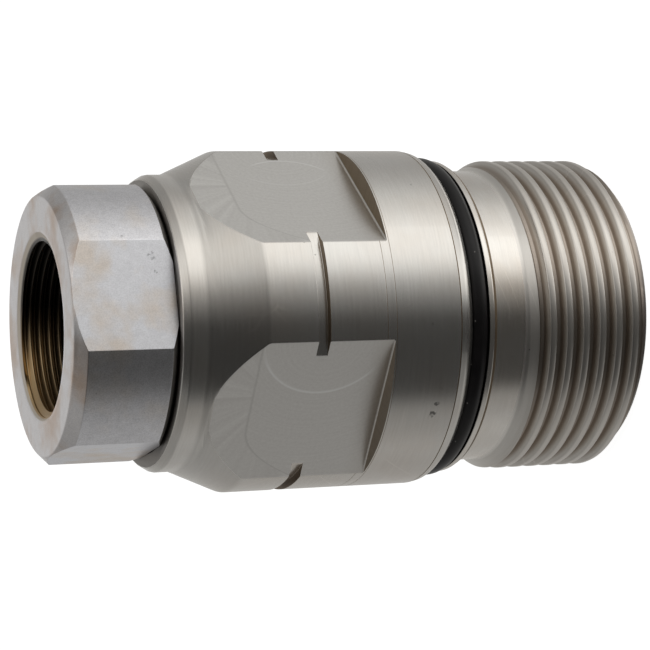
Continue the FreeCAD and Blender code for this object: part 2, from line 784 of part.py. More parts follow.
def coil_spring(label, coil_r, wire_d, turns, bottom, top):
    """A compression spring: a wire on a helix that starts below and ends above the spring's
    length, ground flat to it at both ends. The wire's section has a few flat sides, not a round
    one, because a round wire makes a mesh that is far too heavy for a hidden part."""
    length = total(top, "-" + bottom)
    start = total(bottom, "-" + wire_d)
    path = doc.addObject("Part::Helix", label + "_path")
    path.setExpression("Pitch", f"({length}) / ({turns})")
    path.setExpression("Height", total(length, wire_d, wire_d))
    path.setExpression("Radius", coil_r)
    path.setExpression("Placement.Base.z", start)
    wire = doc.addObject("Part::RegularPolygon", label + "_wire")
    wire.Placement = Placement(Vector(), Rotation(Vector(1, 0, 0), 90))
    wire.setExpression("Polygon", d("wire_sides"))
    wire.setExpression("Circumradius", wire_d + " / 2")
    wire.setExpression("Placement.Base.x", coil_r)
    wire.setExpression("Placement.Base.z", start)
    doc.recompute()
    sweep = doc.addObject("Part::Sweep", label + "_coil")
    sweep.Sections = [wire]
    sweep.Spine = (path, ["Edge1"])
    sweep.Solid = True
    sweep.Frenet = True
    inside = part_cylinder(label + "_length", total(coil_r, wire_d), length, bottom)
    return boolean("Part::Common", label, sweep, inside)


def main_spring():
    """The strong spring that closes the poppet."""
    return coil_spring(
        "main_spring",
        d("main_coil_r"),
        d("main_wire_d"),
        d("main_turns"),
        SPRING_Z,
        SPRING_TOP,
    )


def relief_pin():
    """The small pin in the middle of the face. Pushed in, it lets trapped pressure out."""
    stem_top = total(PIN_STEM_Z, d("pin_stem_len"))
    return turned(
        "relief_pin",
        [
            ("0", FACE_Z),
            (d("pin_r"), FACE_Z),
            (d("pin_r"), PIN_NECK_Z),
            (d("pin_groove_r"), PIN_NECK_Z),
            (d("pin_groove_r"), PIN_FLANGE_Z),
            (d("pin_flange_r"), PIN_FLANGE_Z),
            (d("pin_flange_r"), PIN_STEM_Z),
            (d("pin_stem_r"), PIN_STEM_Z),
            (d("pin_stem_r"), stem_top),
            ("0", stem_top),
        ],
    )


def relief_seal():
    """The O-ring on the relief pin."""
    section = d("pin_ring_d") + " / 2"
    radius = total(d("pin_groove_r"), section, d("seal_gap"))
    return ring_of("relief_seal", radius, section, total(PIN_FLANGE_Z, "-" + section))


def relief_spring():
    """The light spring behind the relief pin."""
    return coil_spring(
        "relief_spring",
        d("relief_coil_r"),
        d("relief_wire_d"),
        d("relief_turns"),
        PIN_STEM_Z,
        d("spring_bore_end"),
    )


SUBPARTS = [
    threaded_sleeve,
    collar_seal,
    port_adapter,
    valve_body,
    body_seal,
    body_backup_ring,
    upper_thrust_washer,
    lower_thrust_washer,
    sleeve_wear_ring,
    dust_seal,
    poppet_guide,
    guide_bush,
    snap_ring,
    poppet,
    poppet_cap,
    poppet_seal,
    spring_seat,
    main_spring,
    relief_pin,
    relief_seal,
    relief_spring,
]


def check(objects):
    """Stops before anything is written if an object failed or a sub-part is empty or broken."""
    for found in doc.Objects:
        assert not {"Invalid", "Error"} & set(found.State), f"{found.Label}: {found.State}"
    for found in objects:
        shape = found.Shape
        assert not shape.isNull() and shape.isValid(), f"{found.Label}: no valid shape"
        assert len(shape.Solids) == 1, f"{found.Label}: {len(shape.Solids)} solids"


made = [build() for build in SUBPARTS]
doc.recompute()
check(made)
for found in made:
    found.Shape.exportStep(f"parts/{found.Label}.step")
    box = found.Shape.BoundBox
    print(f"{found.Label:22s} z {box.ZMin:8.2f} to {box.ZMax:8.2f}  volume {found.Shape.Volume:10.1f}")
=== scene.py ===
# %% [markdown]
# # One half of a screw-to-connect hydraulic coupling
# The real object is turned and milled from steel: a threaded sleeve that a wrench turns, a hose
# end with four flats that stands still, and a sprung valve inside. Nearly all of it is made on a
# lathe, so nearly all of it can be drawn as one idea: a profile of radius against height, swept
# round an axis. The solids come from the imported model, which stays fixed. This script replaces
# the big outside pieces, the O-ring that shows and the springs with finer surfaces of the same
# size, and gives every piece a finish.

import math

import bpy
import numpy as np
from mathutils import Matrix, Vector


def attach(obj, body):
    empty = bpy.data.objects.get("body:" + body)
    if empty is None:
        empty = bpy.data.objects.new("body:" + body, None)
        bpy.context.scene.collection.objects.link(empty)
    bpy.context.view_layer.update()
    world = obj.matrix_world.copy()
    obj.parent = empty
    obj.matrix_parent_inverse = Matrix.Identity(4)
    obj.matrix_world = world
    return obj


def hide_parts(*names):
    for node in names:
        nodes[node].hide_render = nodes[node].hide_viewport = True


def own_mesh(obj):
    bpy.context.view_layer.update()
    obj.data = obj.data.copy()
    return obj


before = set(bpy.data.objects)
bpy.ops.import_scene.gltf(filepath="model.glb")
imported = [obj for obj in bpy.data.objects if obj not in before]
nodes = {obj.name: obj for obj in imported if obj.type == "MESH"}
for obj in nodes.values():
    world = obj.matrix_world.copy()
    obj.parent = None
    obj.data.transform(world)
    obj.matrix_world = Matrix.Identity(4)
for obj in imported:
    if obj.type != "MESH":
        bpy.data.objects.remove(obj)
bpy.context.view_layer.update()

# %% [markdown]
# ## Units and colours
# Sizes on a drawing are in millimetres and Blender's are in metres, so one factor turns one into
# the other. Colours are picked as web codes, as a paint shop would note them. A shader wants
# linear light, and this is the standard curve between the two.

# %% Millimetres and colour codes
MM = 0.001


def linear(code):
    """Turns a web colour into linear light: c/12.92 below 0.04045, else ((c+0.055)/1.055)^2.4."""
    c = np.array([int(code[i : i + 2], 16) for i in (1, 3, 5)]) / 255
    light = np.where(c <= 0.04045, c / 12.92, ((c + 0.055) / 1.055) ** 2.4)
    return (*light.tolist(), 1.0)


print("mid grey in linear light:", round(linear("#808080")[0], 3))

# %% [markdown]
# ## From a profile to rows of points
# A drawing's profile has sharp corners, but real metal never does: the tool, the deburring and
# the plating leave a small round on each edge, and that round is what catches the light. So each
# corner is replaced by a short curve. A guard point just before and just after the curve keeps
# the shading of the long faces flat, because Blender averages normals where faces meet.


# %% Round the corners of a profile
def rounded(corners, steps=3, guard=0.08):
    """Corners are rows of radius, height and edge round. Each round is a quadratic curve from A,
    t before the corner C, to B, t after it: (1-s)^2 A + 2s(1-s) C + s^2 B. t is at most 0.45 of
    the shorter side, so that two rounds never meet. A guard point lies guard beyond each end."""
    rows = np.array(corners, float)
    point, size = rows[:, :2], rows[:, 2]
    side = np.diff(point, axis=0)
    length = np.hypot(*side.T)
    way = side / length[:, None]
    room = 0.45 * np.minimum(length[:-1], length[1:])
    t = np.minimum(size[1:-1], room)[:, None, None]
    g = np.minimum(guard, 0.5 * (room - t[:, 0, 0]))[:, None, None]
    middle = point[1:-1, None]
    before, after = way[:-1, None], way[1:, None]
    s = np.linspace(0, 1, steps + 1)[None, :, None]
    start, end = middle - t * before, middle + t * after
    curve = (1 - s) ** 2 * start + 2 * s * (1 - s) * middle + s**2 * end
    whole = np.concatenate([start - g * before, curve, end + g * after], axis=1)
    return np.vstack([point[:1], whole.reshape(-1, 2), point[-1:]])


def run_length(profile):
    """How far each row lies along the profile, in millimetres."""
    return np.concatenate([[0], np.cumsum(np.hypot(*np.diff(profile, axis=0).T))])


def with_rows(profile, spacing):
    """Adds rows to a profile so that none lies further than spacing from the next."""
    run = run_length(profile)
    where = np.sort(np.concatenate([run, np.arange(spacing, run[-1], spacing)]))
    return np.column_stack([np.interp(where, run, profile[:, k]) for k in (0, 1)])


print("a square step becomes", len(rounded([(1, 0, 0), (1, 5, 0.2), (3, 5, 0)])), "rows")

# %% [markdown]
# ## Soft corners between two surfaces
# A flat milled on a cylinder is simply the smaller of two radii: the cylinder's, and the plane's,
# which is its distance divided by the cosine of the angle. Taking the smaller one leaves a razor
# edge. A smooth minimum rounds it over a chosen width, the way a deburring pass does.


# %% Smaller and larger of two, with a round edge
def soft_min(p, q, width):
    """min(p, q) less h^2 * width / 4, where h is 1 at p = q and 0 once they differ by width."""
    h = np.clip(1 - np.abs(p - q) / width, 0, 1)
    return np.minimum(p, q) - h * h * width / 4


def soft_max(p, q, width):
    """The same for the larger of two, as inside a hole."""
    return -soft_min(-p, -q, width)


print("soft minimum of 5 and 5:", soft_min(5.0, 5.0, 0.1))

# %% [markdown]
# ## Columns that follow the milled flats
# On the cone the flats narrow to a tip, so the edge between flat and ridge moves round as the
# row goes up. If the columns stood still, that edge would come out as a staircase. Instead each
# row places its columns by the edge itself: some at shares of the flat, some at shares of the
# ridge between two flats.


# %% Where each row's columns stand
def milled_columns(edge, sides, turn, flat_shares, ridge_shares):
    """edge is each row's half angle of the flat, in degrees. Returns the angle of every column in
    every row, and its angle from the middle of the nearest flat. The last column is the first."""
    pitch = 360 / sides
    edge = np.asarray(edge, float)[:, None]
    on_flat = edge * flat_shares[None]
    on_ridge = edge + (pitch - 2 * edge) * ridge_shares[None]
    one = np.concatenate([on_flat, on_ridge], axis=1)
    shift = (np.arange(sides) * pitch + turn)[None, :, None]
    angle = (one[:, None] + shift).reshape(len(edge), -1)
    local = np.tile(one, (1, sides))
    local = local - pitch * (local > pitch / 2)
    angle = np.concatenate([angle, angle[:, :1] + 360], axis=1)
    return angle, np.concatenate([local, local[:, :1]], axis=1)


def swept(radius, height, angle):
    """Points at radius, height and angle in degrees, with the last column laid on the first."""
    a = np.radians(angle)
    x, y, z = radius * np.cos(a), radius * np.sin(a), np.broadcast_to(height, a.shape).copy()
    x[:, -1], y[:, -1] = x[:, 0], y[:, 0]
    return np.stack([x, y, z], axis=-1)


def turned_zone(profile, angle, start, spread):
    """A turned stretch: the same profile at every angle. Its surface map runs spread millimetres
    for each degree round it, and the run of the profile, from start on, along it."""
    everywhere = np.broadcast_to(angle, (len(profile), len(angle)))
    grid = swept(profile[:, :1], profile[:, 1:], everywhere)
    along = run_length(profile)[:, None] + start
    return grid, np.stack(np.broadcast_arrays(angle[None] * spread, along), -1)


print("half a flat at 35 on a radius of 40:", round(math.degrees(math.acos(35 / 40))), "degrees")

# %% [markdown]
# ## A screw thread
# A thread is one groove that climbs one pitch in one turn. Rows that climb with it keep every
# crest and root on its own row, so a few rows draw it cleanly. After a full turn a row meets the
# row one pitch further on, which closes the surface. The profile of one pitch is written once,
# with rounded crests and roots. Rows that leave the threaded length are held at its ends, where
# the plain outline takes over.


# %% One pitch of a groove, and the rows that carry it
def groove_profile(pitch, root_half, mouth_half, depth, rounding):
    """Distance from the groove's middle, and depth below the crest, over one whole pitch."""
    root, mouth = (root_half, depth, rounding), (mouth_half, 0, rounding)
    half = rounded([(0, depth, 0), root, mouth, (pitch / 2, 0, 0)], guard=0.05)
    across, down = half[:, 0], half[:, 1]
    return np.append(-across[:0:-1], across[:-1]), np.append(down[:0:-1], down[:-1])


def helical_rows(across, down, pitch, first, turns, angle):
    """Height, depth and turns made, for every row and column of a right-hand helix:
    height = first + pitch * (turn + angle / 360) + across. turns lists the whole turns."""
    made = np.repeat(turns, len(across))[:, None] + angle[None] / 360
    height = first + pitch * made + np.tile(across, len(turns))[:, None]
    depth = np.broadcast_to(np.tile(down, len(turns))[:, None], height.shape)
    return height, depth, made


def eased(made, start, length):
    """0 until start, 1 from start + length on, in degrees of winding, and 3f^2 - 2f^3 between."""
    f = np.clip((made * 360 - start) / length, 0, 1)
    return f * f * (3 - 2 * f)


print("rows in one pitch:", len(groove_profile(4.233, 0.5, 1.35, 2.2, 0.35)[0]))

# %% [markdown]
# ## From a grid of points to a closed mesh
# Every surface here is a grid. Where rows or columns run together, as at the tip of a flat, its
# cells shrink to lines. Points that fall on one place are welded, each cell is split into two
# triangles, and triangles that have lost a corner are left out. The UV map holds millimetres
# round and along the surface, so that tool marks can follow it.


# %% Build the mesh
SHARP_ANGLE = 38  # edges that bend more than this many degrees stay sharp


def grid_mesh(name, grid, uv, part, materials):
    """grid is rows x columns x 3 in millimetres, uv is rows x columns x 2, and part is a material
    number for each cell. Going along a row and then up a column turns about the outward normal."""
    rows, columns = grid.shape[:2]
    places, welded = np.unique(np.round(grid.reshape(-1, 3), 6), axis=0, return_inverse=True)
    welded = welded.reshape(-1)
    number = np.arange(rows * columns).reshape(rows, columns)
    a, b = number[:-1, :-1], number[:-1, 1:]
    c, d = number[1:, 1:], number[1:, :-1]
    corners = np.concatenate([np.stack(abc, -1).reshape(-1, 3) for abc in ([a, b, c], [a, c, d])])
    owner = np.tile(np.broadcast_to(part, a.shape).reshape(-1), 2)
    tri = welded[corners]
    whole = (tri[:, 0] != tri[:, 1]) & (tri[:, 1] != tri[:, 2]) & (tri[:, 0] != tri[:, 2])
    corners, owner, tri = corners[whole], owner[whole], tri[whole]
    mesh = bpy.data.meshes.new(name)
    mesh.vertices.add(len(places))
    mesh.vertices.foreach_set("co", (places * MM).reshape(-1))
    mesh.loops.add(tri.size)
    mesh.loops.foreach_set("vertex_index", tri.reshape(-1))
    mesh.polygons.add(len(tri))
    mesh.polygons.foreach_set("loop_start", np.arange(0, tri.size, 3))
    mesh.polygons.foreach_set("material_index", owner.astype(np.int32))
    layer = mesh.uv_layers.new(name="surface_mm")
    layer.data.foreach_set("uv", uv.reshape(-1, 2)[corners.reshape(-1)].reshape(-1))
    mesh.update(calc_edges=True)
    mesh.polygons.foreach_set("use_smooth", np.ones(len(mesh.polygons), bool))
    mesh.set_sharp_from_angle(angle=math.radians(SHARP_ANGLE))
    for material in materials:
        mesh.materials.append(material)
    piece = bpy.data.objects.new(name, mesh)
    bpy.context.scene.collection.objects.link(piece)
    edges = np.sort(np.concatenate([tri[:, [0, 1]], tri[:, [1, 2]], tri[:, [2, 0]]]), axis=1)
    used = np.unique(edges, axis=0, return_counts=True)[1]
    print(f"{name}: {len(tri)} triangles, open or doubled edges: {int((used != 2).sum())}")
    return piece


# %% [markdown]
# ## Adding shader nodes
# A material is a small network of nodes. One function adds any of them: it sets the node's own
# options, fills its inputs, and links an input that is given another node. Every finish here ends
# the same way, with a relief, the standard shader and the output, so that is written once. Many
# patterns follow the lathe, and those need to know how far a point lies from the axis.


# %% Materials and nodes
def add(tree, kind, *inputs, **settings):
    """Adds a node of a kind, named without its leading ShaderNode. inputs fill sockets in order.
    A setting with a capital fills the socket of that name, where _ is a space, and any other sets
    an option. An input is a value, a socket, or a node, whose first output in use is taken."""
    node = tree.nodes.new("ShaderNode" + kind)
    sockets = dict(enumerate(inputs))
    for key, setting in settings.items():
        if key[0].isupper():
            sockets[key.replace("_", " ")] = setting
        else:
            setattr(node, key, setting)
    for key, given in sockets.items():
        if isinstance(given, bpy.types.Node):
            given = next(output for output in given.outputs if output.enabled)
        if isinstance(given, bpy.types.NodeSocket):
            tree.links.new(given, node.inputs[key])
        else:
            node.inputs[key].default_value = given
    return node


def new_material(name):
    """An empty material and its node tree."""
    material = bpy.data.materials.new(name)
    material.use_nodes = True
    material.node_tree.nodes.clear()
    return material, material.node_tree


def finished(material, colour, rough, relief, depth, **more):
    """Ends a material. relief is raised by depth millimetres, and more sets further sockets."""
    tree = material.node_tree
    bump = add(tree, "Bump", Height=relief, Distance=depth * MM)
    base = {"Base_Color": colour, "Roughness": rough, "Normal": bump}
    add(tree, "OutputMaterial", Surface=add(tree, "BsdfPrincipled", **base, **more))
    return material


def from_axis(tree, place):
    """Distance from the axis: the length of a place whose height is made zero."""
    flat = add(tree, "VectorMath", place, (1, 1, 0), operation="MULTIPLY")
    return add(tree, "VectorMath", flat, operation="LENGTH")


# %% [markdown]
# ## Dark nicks
# Handling leaves a few small groups of dark nicks in the plating. Each group is one place on the
# part and a size. A coarse noise is cut off at a level, so that only its peaks show, and it is
# weaker towards the group's rim, so that the nicks get fewer there.

# %% Groups of nicks: place and size in millimetres
SLEEVE_NICKS = [(-22.3, -33.1, 54.9, 2.0), (-19.9, -34.6, 54.3, 1.4), (-16.5, -36.3, 53.4, 1.1)]
HOSE_NICKS = [(15.0, -27.4, 118.6, 2.2), (11.4, -28.2, 118.0, 1.2), (19.8, -26.3, 124.7, 1.5)]


def nicks(tree, place, groups, grit_mm, dark):
    """Brightness: 1 less dark times the noise's part above 0.42, spread to 0..1. First the noise
    is multiplied by the nearest group's share, which is 1 in its middle and 0 at its size."""
    inside = 0.0
    for x, y, z, size in groups:
        away = add(tree, "VectorMath", place, (x * MM, y * MM, z * MM), operation="DISTANCE")
        share = add(tree, "MapRange", Value=away, From_Min=size * MM, From_Max=0.3 * size * MM)
        inside = add(tree, "Math", share, inside, operation="MAXIMUM")
    grit = add(tree, "TexNoise", Vector=place, Scale=1 / (grit_mm * MM), Detail=2.0, Roughness=0.5)
    both = add(tree, "Math", grit, inside, operation="MULTIPLY")
    peaks = add(tree, "MapRange", Value=both, From_Min=0.42, From_Max=0.58)
    return add(tree, "Math", peaks, -dark, 1.0, operation="MULTIPLY_ADD")


print("groups of nicks:", len(SLEEVE_NICKS) + len(HOSE_NICKS))

# %% [markdown]
# ## Turned steel
# The sleeve is turned from bar and plated with a thin zinc-nickel layer, which leaves a warm
# satin grey. The lathe tool leaves fine rings: too fine to see one by one, at about 0.2 mm a
# turn, so they are drawn two or three times coarser, as slightly rougher and smoother bands
# that follow the profile. The plating varies a little, from grey to a faint brown, and handling
# has left a few pits, dull specks and pale scratches. In the thread's roots the steel is brown.

# %% Turned and plated steel
RING_MM, SPECK_MM, PIT_MM, SCRATCH_MM = 0.55, 0.45, 7.0, 13.0
STRETCH = 0.06  # a speck's or streak's width along the profile, for each 1 of length round it
THREAD_FADE = (29.5, 28.0)  # the thread's own colour starts and is full at these heights


def turned_steel(name, light, brown, rough, depth, crest=None, brown_below=0.0, stained=0.75):
    """Rings are noise read along the profile only, so that they are the same all the way round.
    A slow stain is mixed in up to the share stained. Within the threaded length the crests have a
    colour of their own, and below a distance from the axis in mm the steel is brown."""
    material, tree = new_material(name)
    where = add(tree, "UVMap", uv_map="surface_mm")
    split = add(tree, "SeparateXYZ", where)
    rings = add(
        tree, "TexNoise", W=split.outputs["Y"], Scale=1 / RING_MM, Detail=3.0, Roughness=0.6,
        noise_dimensions="1D"
    )
    narrow = add(tree, "Math", split.outputs["X"], STRETCH, operation="MULTIPLY")
    stretch = add(tree, "CombineXYZ", X=narrow, Y=split.outputs["Y"])
    streaks = add(tree, "TexNoise", Vector=stretch, Scale=1.1, Detail=4.0, Roughness=0.65)
    place = add(tree, "TexCoord").outputs["Object"]
    stain = add(tree, "TexNoise", Vector=place, Scale=45.0, Detail=4.0, Roughness=0.55)
    share = add(tree, "MapRange", Value=stain, From_Min=0.38, From_Max=0.72, To_Max=stained)
    out = from_axis(tree, place)
    deep = add(
        tree, "MapRange", Value=out, From_Min=(brown_below + 0.9) * MM, From_Max=brown_below * MM
    )
    height = add(tree, "SeparateXYZ", place)
    in_thread = add(
        tree, "MapRange", Value=height.outputs["Z"], From_Min=THREAD_FADE[0] * MM,
        From_Max=THREAD_FADE[1] * MM
    )
    deep_share = add(tree, "Math", deep, in_thread, operation="MULTIPLY")
    browned = add(tree, "Math", share, deep_share, operation="MAXIMUM")
    plate = add(
        tree, "Mix", in_thread, A=linear(light), B=linear(crest or light), data_type="RGBA"
    )
    colour = add(tree, "Mix", browned, A=plate, B=linear(brown), data_type="RGBA")
    tone = add(
        tree, "MapRange", Value=streaks, From_Min=0.3, From_Max=0.7, To_Min=0.98, To_Max=1.02
    )
    specks = add(tree, "TexNoise", Vector=stretch, Scale=1 / SPECK_MM, Detail=3.0, Roughness=0.6)
    speck = add(tree, "MapRange", Value=specks, From_Min=0.32, From_Max=0.6, To_Min=0.955)
    edges = add(tree, "TexVoronoi", Vector=where, Scale=1 / SCRATCH_MM, feature="DISTANCE_TO_EDGE")
    thin = add(
        tree, "MapRange", Value=edges, From_Min=0.002, From_Max=0.008, To_Min=1.0, To_Max=0.0
    )
    few = add(tree, "MapRange", Value=stain, From_Min=0.57, From_Max=0.62, To_Max=0.13)
    scratch = add(tree, "Math", thin, few, 1.0, operation="MULTIPLY_ADD")
    cells = add(tree, "TexVoronoi", Vector=where, Scale=1 / PIT_MM)
    pit = add(tree, "MapRange", Value=cells, From_Min=0.015, From_Max=0.04, To_Min=0.6)
    nicked = nicks(tree, place, SLEEVE_NICKS, 0.9, 0.7)
    worn = add(tree, "Math", pit, nicked, operation="MULTIPLY")
    for mark in (tone, speck, scratch):
        worn = add(tree, "Math", worn, mark, operation="MULTIPLY")
    toned = add(tree, "Mix", 1.0, A=colour, B=worn, data_type="RGBA", blend_type="MULTIPLY")
    grip = add(
        tree, "MapRange", Value=rings, From_Min=0.3, From_Max=0.7, To_Min=rough - 0.015,
        To_Max=rough + 0.02
    )
    return finished(material, toned, grip, rings, depth, Metallic=1.0)


sleeve_steel = turned_steel("turned_zinc_nickel_steel", "#D9D7D3", "#D0C8BF", 0.25, 0.00045)
# The neck and the land take a lighter copy of the sleeve's steel: painted light.
neck_steel = turned_steel("fine_turned_neck_steel_painted_light", "#E6E3DE", "#D5CABD", 0.24, 0.0004)
thread_steel = turned_steel(
    "thread_cut_steel", "#E4E1DC", "#B3A99F", 0.33, 0.0005, crest="#DAD6D0", brown_below=35.9,
    stained=0.25
)
print("made", sleeve_steel.name, neck_steel.name, "and", thread_steel.name)

# %% [markdown]
# ## Milled flats
# The wrench flats are cut with an end mill about 30 mm across, in two passes 19 mm apart. Where
# the tool stops before it goes back, its rim leaves part of a circle, a little different on each
# flat, and where the passes end there is a fine step. Past that step, near the flat's tip, the
# marks fan out. Marks are placed by millimetres across a flat and by height on the part. The
# flats lie 100 mm apart on the surface map, so that a mark can belong to one of them.

# %% End-milled steel
FLAT_STEP = 100.0
PASS_END, STEP_BEND = 97.1, 0.07
MAIN_PASS, FAN_CENTRE = (19.6, 81.9, 0.0), (4.5, PASS_END - 5.0, 0.0)
# Each mark: flat, centre's place across and height, radius, from and to height, from across,
# width, brightness
RIM_MARKS = [
    (3, 0.2, 81.5, 14.6, 70.8, 89.5, 9.0, 0.30, 0.55),
    (3, 19.4, 82.2, 14.9, 71.0, 92.0, -20.0, 0.35, 0.25),
    (2, 20.3, 81.8, 15.3, 69.0, 97.0, -20.0, 0.45, 0.75),
    (1, 0.4, 81.7, 14.7, 70.5, 90.0, 8.0, 0.35, 0.50),
    (0, 19.0, 82.0, 14.8, 72.0, 93.0, -20.0, 0.35, 0.45),
]


def near_line(tree, distance, width):
    """1 where a distance is zero, falling in a straight line to 0 at width, in millimetres."""
    off = add(tree, "Math", distance, operation="ABSOLUTE")
    return add(tree, "MapRange", Value=off, From_Max=width, To_Min=1.0, To_Max=0.0)


def on_one_flat(tree, along, flat):
    """1 on the flat with this number and 0 on the others: the number is the place along the
    surface map divided by the flats' spacing, rounded."""
    number = add(tree, "Math", along, 1 / FLAT_STEP, operation="MULTIPLY")
    nearest = add(tree, "Math", number, operation="ROUND")
    return add(tree, "Math", nearest, flat, 0.1, operation="COMPARE")


def rim_mark(tree, split, across, place, mark):
    """A point is on the mark when its distance from the tool's centre is the tool's radius. The
    smallest of four numbers keeps the mark on its flat and between its ends."""
    flat, centre, height, radius, low, high, left, width, bright = mark
    away = add(tree, "VectorMath", place, (centre, height, 0.0), operation="DISTANCE")
    off = add(tree, "Math", away, radius, operation="SUBTRACT")
    strength = near_line(tree, off, width)
    up = split.outputs["Y"]
    for number, none, full in ((up, low, low + 3), (up, high, high - 3), (across, left, left + 1)):
        share = add(tree, "MapRange", Value=number, From_Min=none, From_Max=full)
        strength = add(tree, "Math", strength, share, operation="MINIMUM")
    own = on_one_flat(tree, split.outputs["X"], flat)
    shown = add(tree, "Math", strength, own, operation="MULTIPLY")
    return add(tree, "Math", shown, bright, operation="MULTIPLY")


def milled_steel(name, light, shade, rough):
    """Fine lines are noise read along the distance from the tool's centre, grain is noise on the
    flat, and the rim marks, the step and a brown tint near the wall are laid over them. The brown
    tint is a painted reflection of the wall. The step bends down past 5 mm by the square of the
    distance. One flat is painted paler, which is painted light."""
    material, tree = new_material(name)
    where = add(tree, "UVMap", uv_map="surface_mm")
    split = add(tree, "SeparateXYZ", where)
    across = add(tree, "Math", split.outputs["X"], FLAT_STEP / 2, -FLAT_STEP / 2, operation="WRAP")
    place = add(tree, "CombineXYZ", X=across, Y=split.outputs["Y"])
    rims, *others = [rim_mark(tree, split, across, place, mark) for mark in RIM_MARKS]
    for other in others:
        rims = add(tree, "Math", rims, other, operation="MAXIMUM")
    beyond = add(tree, "MapRange", Value=across, From_Min=-5.0, From_Max=-20.0, To_Max=15.0)
    bend = add(tree, "Math", beyond, beyond, operation="MULTIPLY")
    bent = add(tree, "Math", bend, STEP_BEND, split.outputs["Y"], operation="MULTIPLY_ADD")
    past_end = add(tree, "Math", bent, PASS_END, operation="SUBTRACT")
    step = near_line(tree, past_end, 0.45)
    fan_at = add(tree, "VectorMath", place, FAN_CENTRE, operation="SUBTRACT")
    fan_split = add(tree, "SeparateXYZ", fan_at)
    fan_turn = add(
        tree, "Math", fan_split.outputs["X"], fan_split.outputs["Y"], operation="ARCTAN2"
    )
    fan = add(
        tree, "TexNoise", W=fan_turn, Scale=5.0, Detail=2.0, Roughness=0.5, noise_dimensions="1D"
    )
    fan_lines = add(tree, "MapRange", Value=fan, From_Min=0.3, From_Max=0.7)
    on_fan = add(tree, "MapRange", Value=past_end, From_Max=0.6)
    from_tool = add(tree, "VectorMath", place, MAIN_PASS, operation="DISTANCE")
    lines = add(
        tree, "TexNoise", W=from_tool, Scale=1.5, Detail=5.0, Roughness=0.75,
        noise_dimensions="1D"
    )
    marks = add(tree, "Mix", on_fan, A=lines, B=fan_lines)
    grain = add(tree, "TexNoise", Vector=where, Scale=1.4, Detail=5.0, Roughness=0.7)
    both = add(tree, "Math", marks, 0.5, grain, operation="MULTIPLY_ADD")
    tone = add(tree, "MapRange", Value=both, From_Min=0.45, From_Max=1.05)
    colour = add(tree, "Mix", tone, A=linear(shade), B=linear(light), data_type="RGBA")
    # Painted reflection: the flat turns browner towards the wall, as if it mirrored the wall.
    wall_reflection_share = add(
        tree, "MapRange", Value=split.outputs["Y"], From_Min=66.2, From_Max=71.5, To_Min=0.2,
        To_Max=0.0
    )
    browned = add(tree, "Mix", wall_reflection_share, A=colour, B=linear("#A3937E"), data_type="RGBA")
    # Painted light: flat number 2 is mixed towards near white.
    reflecting_flat = on_one_flat(tree, split.outputs["X"], 2)
    reflection_share = add(tree, "Math", reflecting_flat, 0.15, operation="MULTIPLY")
    plated = add(tree, "Mix", reflection_share, A=browned, B=linear("#FFFAF4"), data_type="RGBA")
    lit = add(tree, "Mix", rims, A=plated, B=(1.0, 1.0, 0.99, 1.0), data_type="RGBA")
    shade_line = add(tree, "Math", step, 0.22, operation="MULTIPLY")
    stepped = add(tree, "Mix", shade_line, A=lit, B=linear("#8C8A86"), data_type="RGBA")
    return finished(material, stepped, rough, marks, 0.003, Metallic=1.0)


flat_steel = milled_steel("end_milled_steel", "#E8E7E4", "#D6D4D1", 0.36)
wall_steel = milled_steel("side_milled_steel", "#9C8C77", "#7C6E5C", 0.42)
print("made", flat_steel.name, "and", wall_steel.name)

# %% [markdown]
# ## The hose end's steel
# The hose end was blasted and zinc plated: a fine even grain, a lighter and cooler grey than the
# sleeve, with faint straw-coloured and pinkish clouds in the plating, and a few dark pits. The
# real grain is about 0.15 mm, too fine to show, so it is drawn twice as coarse. The flats were
# milled before that and took less of the grain.

# %% Blasted and plated steel
def blasted(name, light, warm, rough, grain_mm, depth, contrast=1.0, clouded=0.45):
    """Even grain from noise at grain_mm, over patches six times as wide and slow clouds that mix
    two plating tints. contrast scales how dark the grain's lows are."""
    material, tree = new_material(name)
    place = add(tree, "TexCoord").outputs["Object"]
    grain = add(
        tree, "TexNoise", Vector=place, Scale=1 / (grain_mm * MM), Detail=3.0, Roughness=0.7
    )
    patches = add(
        tree, "TexNoise", Vector=place, Scale=1 / (6 * grain_mm * MM), Detail=3.0, Roughness=0.6
    )
    clouds = add(tree, "TexNoise", Vector=place, Scale=85.0, Detail=3.0, Roughness=0.55)
    share = add(tree, "MapRange", Value=clouds, From_Min=0.48, From_Max=0.68, To_Max=clouded)
    colour = add(tree, "Mix", share, A=linear(light), B=linear(warm), data_type="RGBA")
    speckle = add(tree, "Math", patches, 0.35, grain, operation="MULTIPLY_ADD")
    tone = add(
        tree, "MapRange", Value=speckle, From_Min=0.4, From_Max=0.9, To_Min=1 - 0.22 * contrast,
        To_Max=1 + 0.12 * contrast
    )
    cells = add(tree, "TexVoronoi", Vector=place, Scale=1 / (8.0 * MM))
    pit = add(tree, "MapRange", Value=cells, From_Min=0.02, From_Max=0.05, To_Min=0.5)
    nicked = nicks(tree, place, HOSE_NICKS, 0.7, 0.4)
    spots = add(tree, "Math", pit, nicked, operation="MULTIPLY")
    worn = add(tree, "Math", spots, tone, operation="MULTIPLY")
    toned = add(tree, "Mix", 1.0, A=colour, B=worn, data_type="RGBA", blend_type="MULTIPLY")
    return finished(material, toned, rough, grain, depth, Metallic=1.0)


blasted_steel = blasted("blasted_zinc_plated_steel", "#DFDFE3", "#E0D6CA", 0.38, 0.3, 0.013, 1.2)
hose_flat_steel = blasted(
    "plated_milled_flat_steel", "#F0F1F6", "#E9D9C6", 0.4, 0.3, 0.006, contrast=0.8, clouded=0.6
)
adapter_steel = blasted(
    "plated_turned_end_steel", "#E2E0E1", "#CBB7A7", 0.36, 0.3, 0.003, contrast=0.8, clouded=0.85
)
